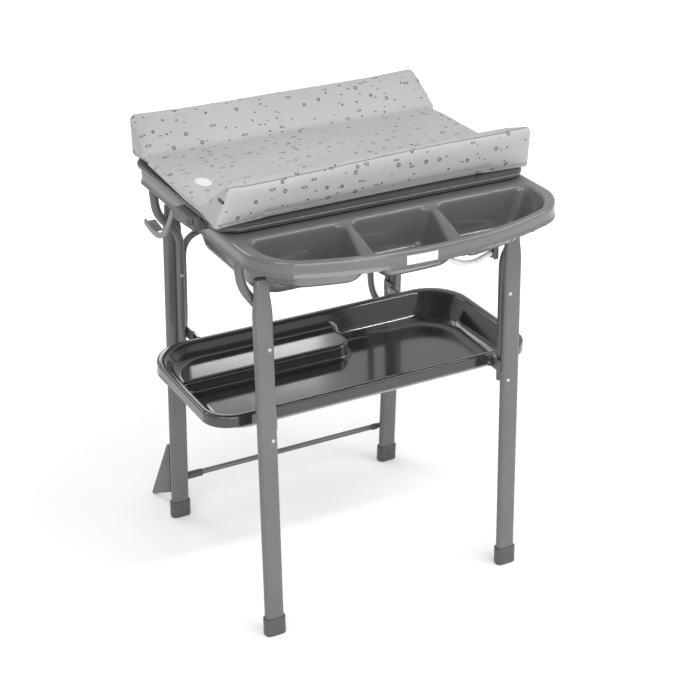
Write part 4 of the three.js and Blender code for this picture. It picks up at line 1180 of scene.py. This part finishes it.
@dataclass
class StorageTray:
    """The deep tray between the two frames."""

    half: float = 0.404
    front: float = 0.178
    back: float = 0.213
    front_corner: float = 0.062
    back_corner: float = 0.100
    flange: float = 0.015
    depth: float = 0.066
    draft: float = 0.046
    skirt: float = 0.024
    wall: float = 0.003
    grid: float = 0.0042
    lug_radius: float = 0.011
    lug_half: float = 0.0105
    lug_width: float = 0.006

    def plan(self, x: np.ndarray, y: np.ndarray, inset: np.ndarray | float) -> np.ndarray:
        """Distance to the tray's plan outline, drawn in by an inset."""
        sides = np.abs(x) - self.half + inset
        front = round_cut(sides, -y - self.front + inset, self.front_corner)
        return np.maximum(front, round_cut(sides, y - self.back + inset, self.back_corner))

    def shape(self, x: np.ndarray, y: np.ndarray, z: np.ndarray) -> np.ndarray:
        """Distance to the tray's top, as if it were solid below."""
        y = y + SHIFT
        solid = round_cut(self.plan(x, y, 0.0), z - TRAY_RIM, 0.004)
        share = np.clip((TRAY_RIM - z) / self.depth, 0.0, 1.2)
        inset = self.flange + self.draft * curve(share, ((0, 0), (0.3, 0.22), (0.7, 0.5), (1.2, 0.95)))
        hollow = round_cut(self.plan(x, y, inset) * 0.9, TRAY_RIM - self.depth - z, 0.018)
        solid = round_cut(solid, -hollow, 0.006)
        platform = round_cut(round_cut(x - 0.068, 0.072 - y, 0.040), z - 0.497, 0.009)
        return round_join(solid, platform, 0.012)

    def keep(self, middles: np.ndarray) -> np.ndarray:
        """Says which faces belong to the tray."""
        x, y, z = middles.T
        outline = self.plan(x, y + SHIFT, 0.0)
        near_leg = np.abs(np.abs(x) - 0.295) < 0.017
        notch = near_leg & (y + SHIFT < -self.front + 0.006) & (z < TRAY_RIM - 0.006)
        return ~((outline > -0.009) & (z < TRAY_RIM - self.skirt)) & ~notch

    def lugs(self) -> Skin:
        """The lugs that reach from the tray's rim to the frames' brackets."""
        skin = Skin()
        for side in Side:
            for x, near, far in ((0.2777, -0.177, -0.2073), (0.2677, 0.212, 0.2582)):
                facing = 1 if far < 0 else -1
                tip = far + facing * self.lug_radius
                angles = [facing * math.pi / 2 + math.pi * k / 10 for k in range(11)]
                rings = []
                for px in sorted((side.value * (x - self.lug_width), side.value * x)):
                    arc = [(px, tip + self.lug_radius * math.cos(a) - SHIFT,
                            TRAY_PIVOT + self.lug_half * math.sin(a)) for a in angles]
                    rings.append(arc + [(px, near - SHIFT, arc[-1][2]), (px, near - SHIFT, arc[0][2])])
                skin.loft(rings)
        return skin

    def build(self, finishes: Finishes) -> None:
        """Makes the tray and its lugs.

        Args:
            finishes: the table's finishes.
        """
        maker = ShellMaker(self.shape, (-0.412, -0.198, 0.455), (0.412, 0.208, 0.537), self.grid)
        tray = maker.shell("storage_tray_moulding", self.wall, self.keep, finishes.tray)
        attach(tray, Body.TRAY.value)
        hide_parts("tray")
        lugs = self.lugs().piece("tray_lugs", finishes.tray)
        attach(lugs, Body.TRAY.value)
        log.info("tray: %d faces", len(tray.data.polygons))


@dataclass
class Stand:
    """Legs, bent tubes, foot caps, brace and cross rod of the folding frame."""

    leg_width: float = 0.044
    leg_depth: float = 0.022
    leg_round: float = 0.0105
    front_leg_top: float = 0.858
    rear_leg_top: float = 0.845
    neck_foot: float = 0.775
    neck_run: float = 0.06
    tube_radius: float = 0.010
    rod_height: float = 0.098
    rod_radius: float = 0.0068
    front_x: float = 0.304
    rear_x: float = 0.294

    def front_y(self, z: float) -> float:
        """The front legs' plane."""
        return -0.2466 + 0.0314 * z - SHIFT

    def rear_y(self, z: float) -> float:
        """The rear legs' plane."""
        return 0.3119 - 0.047 * z - SHIFT

    def leg(self, x: float, plane: Callable[[float], float]) -> Skin:
        """One leg, necked at its top; the front pair reaches higher."""
        skin = Skin()
        top = self.front_leg_top if plane == self.front_y else self.rear_leg_top
        width, depth, corner = self.leg_width, self.leg_depth, self.leg_round
        rings = [oval_ring(width, depth, corner, x, plane(z), z) for z in (0.004, 0.3, 0.6, self.neck_foot)]
        for k in range(1, 8):
            t = k / 7
            ease = t * t * (3 - 2 * t)
            z = self.neck_foot + self.neck_run * t
            rings.append(oval_ring(width - 0.010 * ease, depth - 0.004 * ease, corner - 0.002 * ease,
                                   x, plane(z), z))
        rings.append(oval_ring(0.034, 0.018, 0.0085, x, plane(top - 0.002), top - 0.002))
        rings.append(oval_ring(0.031, 0.015, 0.007, x, plane(top), top))
        skin.loft(rings)
        return skin

    def bent_tube(self, x: float, side: int, plane: Callable[[float], float]) -> Skin:
        """One bent tube from its rivets up into the rail."""
        knots = [Vector((side * px, plane(z), z)) for px, z in
                 ((x, 0.476), (x, self.neck_foot), (0.338, 0.835), (RAIL_X, 0.889), (RAIL_X, 0.935))]
        skin = Skin()
        skin.loft(sweep_rings(rounded_route(knots, 0.024, 8), self.tube_radius, 24))
        return skin

    def cap(self, x: float, plane: Callable[[float], float]) -> Skin:
        """One smooth foot cap with a rounded mouth."""
        skin = Skin()
        rings = []
        for width, z in ((0.047, 0.0), (0.0495, 0.0012), (0.0505, 0.004), (0.0502, 0.020), (0.0505, 0.0410),
                         (0.0500, 0.0430), (0.0480, 0.0440), (0.0452, 0.0436), (0.0448, 0.0400)):
            rings.append(oval_ring(width, width - 0.022, 0.0118, x, plane(z), z))
        skin.loft(rings)
        return skin

    def dress(self, skin: Skin, name: str, node: str, body: Body, material: bpy.types.Material) -> None:
        """Makes a piece from a skin, for a node.

        Args:
            skin: the piece's skin.
            name: its name.
            node: the CAD node that it stands for.
            body: the body that it rides on.
            material: its finish.
        """
        piece = skin.piece(name, material, 55)
        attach(piece, body.value)
        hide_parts(node)

    def brace(self) -> Skin:
        """The hoop behind the rear legs."""
        right = [Vector((0.252, self.rear_y(z) + 0.040, z)) for z in (0.748, 0.487)]
        right += [Vector((0.288, self.rear_y(z) + 0.0193, z)) for z in (0.440, 0.414)]
        left = [Vector((-p.x, p.y, p.z)) for p in reversed(right)]
        skin = Skin()
        skin.loft(sweep_rings(rounded_route(left + right, 0.060, 10), 0.008, 22))
        return skin

    def rod(self) -> Skin:
        """The cross rod along the backs of the rear legs."""
        y = self.rear_y(self.rod_height) + self.leg_depth / 2 + GAP + self.rod_radius
        end = self.rod_radius - 0.0005
        line = [Vector((x, y, self.rod_height)) for x in (-0.314, -0.3135, 0.3135, 0.314)]
        skin = Skin()
        skin.loft(sweep_rings(line, self.rod_radius, 20, [end, self.rod_radius, self.rod_radius, end]))
        return skin

    def build(self, finishes: Finishes) -> None:
        """Makes the frame's pieces.

        Args:
            finishes: the table's finishes.
        """
        rows = (("front", self.front_x, self.front_y, Body.FRONT, 1),
                ("rear", self.rear_x, self.rear_y, Body.REAR, -1))
        for word, x, plane, body, facing in rows:
            for side in Side:
                sx = side.value * x
                end = f"{word}_%s_{side.word}"
                self.dress(self.leg(sx, plane), end % "leg_tube", end % "leg", body, finishes.tube)
                self.dress(self.cap(sx, plane), end % "foot", end % "foot_cap", body, finishes.cap)
                offset = facing * (self.leg_depth / 2 + self.tube_radius + GAP)
                tube = self.bent_tube(x - 0.009, side.value, lambda z, p=plane, o=offset: p(z) + o)
                self.dress(tube, end % "bent", end % "tube", body, finishes.tube)
        self.dress(self.brace(), "rear_hoop", "rear_brace", Body.REAR, finishes.tube)
        self.dress(self.rod(), "floor_rod", "cross_rod", Body.REAR, finishes.tube)
        self.fasteners(finishes)
        for node, finish, width in (("rod_sleeve", finishes.cap, 0.001), ("rod_collar", finishes.cap, 0.0008),
                                    ("stand_fin", finishes.cap, 0.0015)):
            beveled_copy(node, finish, width, Body.REAR.value)
        for side in Side:
            beveled_copy(f"front_tray_bracket_{side.word}", finishes.tube, 0.0008, Body.FRONT.value)
            beveled_copy(f"rear_tray_bracket_{side.word}", finishes.tube, 0.0008, Body.REAR.value)
        log.info("stand: legs, bent tubes, caps, brace and rod")

    def fasteners(self, finishes: Finishes) -> None:
        """Screw heads on the foot caps, by Geometry Nodes.

        Args:
            finishes: the table's finishes.
        """
        front = [(s.value * self.front_x, self.front_y(0.024) - 0.0142, 0.024) for s in Side]
        rear = [(s.value * self.rear_x, self.rear_y(0.024) - 0.0142, 0.024) for s in Side]
        heads = HeadScatter(0.0034, 0.0014)
        heads.build("front_cap_screws", front, Body.FRONT, finishes.cap)
        heads.build("rear_cap_screws", rear, Body.REAR, finishes.board)


@dataclass
class HeadScatter:
    """Small domed heads set on given points, facing forward, by Geometry Nodes."""

    radius: float
    height: float

    def tree(self, material: bpy.types.Material) -> bpy.types.NodeTree:
        """The node tree: one lathe-like head on each point.

        Args:
            material: the heads' finish.

        Returns:
            The tree.
        """
        tree = bpy.data.node_groups.new("heads_on_points", "GeometryNodeTree")
        interface = tree.interface
        interface.new_socket("Geometry", in_out="INPUT", socket_type="NodeSocketGeometry")
        interface.new_socket("Radius", in_out="INPUT", socket_type="NodeSocketFloat")
        interface.new_socket("Height", in_out="INPUT", socket_type="NodeSocketFloat")
        interface.new_socket("Geometry", in_out="OUTPUT", socket_type="NodeSocketGeometry")
        nodes, links = tree.nodes, tree.links
        source, target = nodes.new("NodeGroupInput"), nodes.new("NodeGroupOutput")
        ball = nodes.new("GeometryNodeMeshUVSphere")
        ball.inputs["Segments"].default_value = 20
        ball.inputs["Rings"].default_value = 10
        links.new(source.outputs["Radius"], ball.inputs["Radius"])
        ratio = nodes.new("ShaderNodeMath")
        ratio.operation = "DIVIDE"
        links.new(source.outputs["Height"], ratio.inputs[0])
        links.new(source.outputs["Radius"], ratio.inputs[1])
        scale = nodes.new("ShaderNodeCombineXYZ")
        scale.inputs[0].default_value = 1.0
        scale.inputs[2].default_value = 1.0
        links.new(ratio.outputs[0], scale.inputs[1])
        flat = nodes.new("GeometryNodeTransform")
        links.new(ball.outputs["Mesh"], flat.inputs["Geometry"])
        links.new(scale.outputs[0], flat.inputs["Scale"])
        spread = nodes.new("GeometryNodeInstanceOnPoints")
        links.new(source.outputs["Geometry"], spread.inputs["Points"])
        links.new(flat.outputs["Geometry"], spread.inputs["Instance"])
        real = nodes.new("GeometryNodeRealizeInstances")
        links.new(spread.outputs["Instances"], real.inputs["Geometry"])
        smooth = nodes.new("GeometryNodeSetShadeSmooth")
        links.new(real.outputs["Geometry"], smooth.inputs["Geometry"])
        paint = nodes.new("GeometryNodeSetMaterial")
        paint.inputs["Material"].default_value = material
        links.new(smooth.outputs["Geometry"], paint.inputs["Geometry"])
        links.new(paint.outputs["Geometry"], target.inputs["Geometry"])
        return tree

    def build(self, name: str, places: Sequence[Point], body: Body, material: bpy.types.Material) -> None:
        """Makes the heads as one piece.

        Args:
            name: the piece's name.
            places: the heads' middles.
            body: the body that they ride on.
            material: their finish.
        """
        seed = bpy.data.meshes.new(f"{name}_points")
        seed.from_pydata(list(places), [], [])
        holder = add_object(f"{name}_points", seed)
        modifier = holder.modifiers.new("heads", "NODES")
        tree = self.tree(material)
        modifier.node_group = tree
        sockets = {s.name: s.identifier for s in tree.interface.items_tree if s.in_out == "INPUT"}
        modifier[sockets["Radius"]] = self.radius
        modifier[sockets["Height"]] = self.height
        graph = bpy.context.evaluated_depsgraph_get()
        mesh = bpy.data.meshes.new_from_object(holder.evaluated_get(graph))
        bpy.data.objects.remove(holder)
        piece = add_object(name, mesh)
        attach(piece, body.value)


@dataclass
class Latches:
    """The fold latches on the side rails, their levers and pull pins, and the hinge leaves."""

    ease: float = 0.0012

    def build(self, finishes: Finishes) -> None:
        """Eases and dresses the latches.

        Args:
            finishes: the table's finishes.
        """
        for side in Side:
            word = side.word
            beveled_copy(f"latch_block_{word}", finishes.cap, self.ease, Body.BATH.value, 3)
            beveled_copy(f"latch_lever_{word}", finishes.lever, self.ease, f"lever_{word}", 3)
            beveled_copy(f"latch_barrel_{word}", finishes.cap, self.ease / 2, f"barrel_{word}")
            beveled_copy(f"tub_hinge_leaf_{word}", finishes.board, self.ease / 3, Body.BATH.value)
            beveled_copy(f"board_hinge_leaf_{word}", finishes.board, self.ease / 3, Body.TOP.value)
        beveled_copy("hose_clip", finishes.cap, self.ease / 2, Body.BATH.value)
        beveled_copy("drain_plug", finishes.cap, self.ease / 2, Body.PLUG.value)
        log.info("latches, hinges, clip and plug")


@dataclass
class ChangingTop:
    """The hard board and the padded cover on it."""

    half: float = 0.372
    front: float = 0.184
    back: float = 0.316
    corner: float = 0.060
    low: float = 0.947
    top: float = 0.958
    mat_low: float = 0.9583
    mat_base: float = 0.9763
    mat_front: float = -0.163
    mat_back: float = 0.329
    front_slope: float = 0.081
    back_slope: float = 0.095
    mat_half: float = 0.380
    mat_height: float = 0.098
    lean: float = 0.009
    sink: float = 0.009
    reach: float = 0.005

    def board(self, finishes: Finishes) -> None:
        """The board with its rounded corners and edge.

        Args:
            finishes: the table's finishes.
        """
        skin = Skin()
        rings = []
        middle, depth = (self.back - self.front) / 2 - SHIFT, self.back + self.front
        edge = ((0.004, self.low), (0.0015, self.low + 0.001), (0.0003, self.low + 0.0028),
                (0.0, self.low + 0.0045), (0.0, self.top - 0.0035), (0.0006, self.top - 0.0018),
                (0.0022, self.top - 0.0004), (0.004, self.top))
        for inset, z in edge:
            width = 2 * (self.half - inset)
            rings.append(oval_ring(width, depth - 2 * inset, self.corner - inset, 0.0, middle, z, 14))
        skin.loft(rings)
        board = skin.piece("changing_board_plate", finishes.board, 50)
        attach(board, Body.TOP.value)
        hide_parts("changing_board")

    def cushion(self, finishes: Finishes) -> bpy.types.Object:
        """The padded cover, blown up a little from the CAD solid by a cloth simulation.

        Args:
            finishes: the table's finishes.

        Returns:
            The cushion.
        """
        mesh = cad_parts["changing_mat"].data.copy()
        made = bmesh.new()
        made.from_mesh(mesh)
        bmesh.ops.remove_doubles(made, verts=made.verts, dist=2e-6)
        made.to_mesh(mesh)
        made.free()
        cushion = add_object("changing_cushion", mesh)
        bpy.context.view_layer.objects.active = cushion
        remesh = cushion.modifiers.new("remesh", "REMESH")
        remesh.mode, remesh.voxel_size = "VOXEL", 0.0058
        self.apply(cushion)
        rest = np.array([v.co for v in cushion.data.vertices])
        self.inflate(cushion, rest)
        smooth = cushion.modifiers.new("smooth", "SMOOTH")
        smooth.iterations, smooth.factor = 4, 0.5
        finer = cushion.modifiers.new("finer", "SUBSURF")
        finer.levels = finer.render_levels = 1
        self.apply(cushion)
        co = np.array([v.co for v in cushion.data.vertices])
        co[:, 2] = np.maximum(co[:, 2], self.mat_low)
        self.droop(co)
        cushion.data.vertices.foreach_set("co", co.ravel())
        self.unroll(cushion)
        cushion.data.materials.clear()
        cushion.data.materials.append(finishes.cloth)
        cushion.data.shade_smooth()
        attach(cushion, Body.TOP.value)
        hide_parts("changing_mat")
        return cushion

    def droop(self, co: np.ndarray) -> None:
        """Lets the front bolster's free left end lean out over the board and sink a little.

        Args:
            co: the cushion's points, changed in place.
        """
        foot = self.mat_front + self.front_slope
        near = np.clip((foot - co[:, 1] - SHIFT) / (foot - self.mat_front), 0.0, 1.0)
        left = np.clip((0.24 - co[:, 0]) / (0.24 + self.mat_half), 0.0, 1.0)
        height = np.clip((co[:, 2] - self.mat_low) / self.mat_height, 0.0, 1.0)
        share = near * left * left * (3 - 2 * left)
        co[:, 1] -= self.lean * share
        co[:, 2] -= self.sink * share * height

    def apply(self, piece: bpy.types.Object) -> None:
        """Turns a piece's live modifiers into its mesh."""
        graph = bpy.context.evaluated_depsgraph_get()
        mesh = bpy.data.meshes.new_from_object(piece.evaluated_get(graph))
        piece.modifiers.clear()
        piece.data = mesh

    def inflate(self, cushion: bpy.types.Object, rest: np.ndarray) -> None:
        """Runs the cloth simulation and holds how far each point may move.

        Args:
            cushion: the remeshed cushion.
            rest: its points before the simulation.
        """
        scene = bpy.context.scene
        cloth = cushion.modifiers.new("cloth", "CLOTH")
        settings = cloth.settings
        settings.use_pressure = True
        settings.uniform_pressure_force = 4.0
        settings.quality = 4
        settings.mass = 0.4
        settings.tension_stiffness = settings.compression_stiffness = 30.0
        settings.bending_stiffness = 2.0
        settings.effector_weights.gravity = 0.0
        cloth.point_cache.frame_start, cloth.point_cache.frame_end = 1, 20
        for number in range(1, 21):
            scene.frame_set(number)
        self.apply(cushion)
        scene.frame_set(1)
        moved = np.array([v.co for v in cushion.data.vertices]) - rest
        far = np.linalg.norm(moved, axis=1, keepdims=True)
        held = rest + moved * np.minimum(1.0, self.reach / np.maximum(far, 1e-9))
        cushion.data.vertices.foreach_set("co", held.ravel())
        log.info("cushion: cloth moved up to %.1f mm, held at %.1f mm", far.max() * 1000, self.reach * 1000)

    def section(self) -> np.ndarray:
        """The cover's outline in Y and Z, from its front hem over the top to its back hem."""
        top = self.mat_low + self.mat_height
        return np.array([
            (self.mat_front, self.mat_low), (self.mat_front, top - 0.006), (self.mat_front + 0.008, top),
            (self.mat_front + 0.018, top - 0.004), (self.mat_front + self.front_slope, self.mat_base),
            (self.mat_back - self.back_slope, self.mat_base), (self.mat_back - 0.018, top - 0.004),
            (self.mat_back - 0.008, top), (self.mat_back, top - 0.006), (self.mat_back, self.mat_low),
        ])

    def unroll(self, cushion: bpy.types.Object) -> None:
        """Gives the cover flat coordinates in metres: along X, and along its section.

        Args:
            cushion: the cushion.
        """
        line = self.section()
        lengths = np.concatenate([[0], np.cumsum(np.linalg.norm(np.diff(line, axis=0), axis=1))])
        co = np.array([v.co for v in cushion.data.vertices])
        flat = co[:, 1:3] + np.array([SHIFT, 0.0])
        best, along = np.full(len(flat), 1e9), np.zeros(len(flat))
        for n, (a, b) in enumerate(zip(line, line[1:])):
            t = np.clip(((flat - a) @ (b - a)) / ((b - a) @ (b - a)), 0, 1)
            far = np.linalg.norm(flat - a - t[:, None] * (b - a), axis=1)
            nearer = far < best
            best[nearer] = far[nearer]
            along[nearer] = (lengths[n] + t * (lengths[n + 1] - lengths[n]))[nearer]
        corners = np.array([loop.vertex_index for loop in cushion.data.loops])
        layer = cushion.data.uv_layers.new(name="cover")
        layer.data.foreach_set("uv", np.stack([co[corners, 0], along[corners]], 1).ravel())

    def piping(self, cushion: bpy.types.Object, finishes: Finishes) -> None:
        """Thin welts along the cover's edges, laid on the cushion's surface.

        Args:
            cushion: the cushion.
            finishes: the table's finishes.
        """
        graph = bpy.context.evaluated_depsgraph_get()
        tree = BVHTree.FromObject(cushion, graph)
        top = self.mat_low + self.mat_height
        draw = 0.019
        back_y, front_y = self.mat_back - SHIFT, self.mat_front - SHIFT
        runs = []
        high, low = top - 0.002, self.mat_base - 0.008
        for y, z in ((front_y, high), (back_y, high), (front_y, low), (back_y, low)):
            pull = draw if y > 0 else 0.0
            run = np.array([(x * (self.mat_half - pull), y, z) for x in np.linspace(-0.99, 0.99, 90)])
            self.droop(run)
            runs.append([Vector(point) for point in run])
        skin = Skin()
        for run in runs:
            line = []
            for point in run:
                spot, normal, _, _ = tree.find_nearest(point)
                line.append(spot + normal * 0.0004)
            skin.loft(sweep_rings(line, 0.0009, 8))
        welts = skin.piece("cover_piping", finishes.piping, 60)
        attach(welts, Body.TOP.value)

    def badge(self, cushion: bpy.types.Object, finishes: Finishes) -> None:
        """A blank oval patch welded on the cover's left part.

        Args:
            cushion: the cushion.
            finishes: the table's finishes.
        """
        graph = bpy.context.evaluated_depsgraph_get()
        tree = BVHTree.FromObject(cushion, graph)
        centre, across, along = Vector((-0.316, 0.018, 1.0)), 0.017, 0.027
        rings = []
        for scale, proud in ((1.0, 0.0002), (1.0, 0.0008), (0.97, 0.0012), (0.5, 0.0013), (0.02, 0.0013)):
            ring = []
            for k in range(40):
                a = 2 * math.pi * k / 40
                p = centre + Vector((across * scale * math.cos(a), along * scale * math.sin(a), 0.0))
                spot, _, _, _ = tree.ray_cast(p, Vector((0, 0, -1)))
                ring.append((p.x, p.y, (spot.z if spot else 0.98) + proud))
            rings.append(ring)
        skin = Skin()
        skin.loft(rings)
        patch = skin.piece("oval_patch", finishes.plate, 50)
        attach(patch, Body.TOP.value)

    def build(self, finishes: Finishes) -> None:
        """Makes the board, the cushion and its trims.

        Args:
            finishes: the table's finishes.
        """
        self.board(finishes)
        cushion = self.cushion(finishes)
        bpy.context.view_layer.update()
        self.piping(cushion, finishes)
        self.badge(cushion, finishes)
        log.info("changing top: board, cushion, piping and patch")


def dress_fittings(finishes: Finishes) -> None:
    """Gives the bright fittings that keep their CAD shape their finish.

    Args:
        finishes: the table's finishes.
    """
    for name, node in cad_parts.items():
        if node.hide_render:
            continue
        node.data.materials.clear()
        node.data.materials.append(finishes.steel if ("rivet" in name or "pin" in name) else finishes.cap)


def main() -> None:
    """Builds the table piece by piece and sets it in the studio."""
    logging.basicConfig(level=logging.INFO, format="%(message)s")
    random.seed(7)
    studio = Studio()
    studio.camera()
    finishes = Finishes()
    DrainHose().build(finishes)
    for part in (Bathtub(), StorageTray(), Stand(), Latches(), ChangingTop()):
        part.build(finishes)
    dress_fittings(finishes)
    studio.build()
    bpy.context.view_layer.update()


if __name__ == "__main__":
    main()
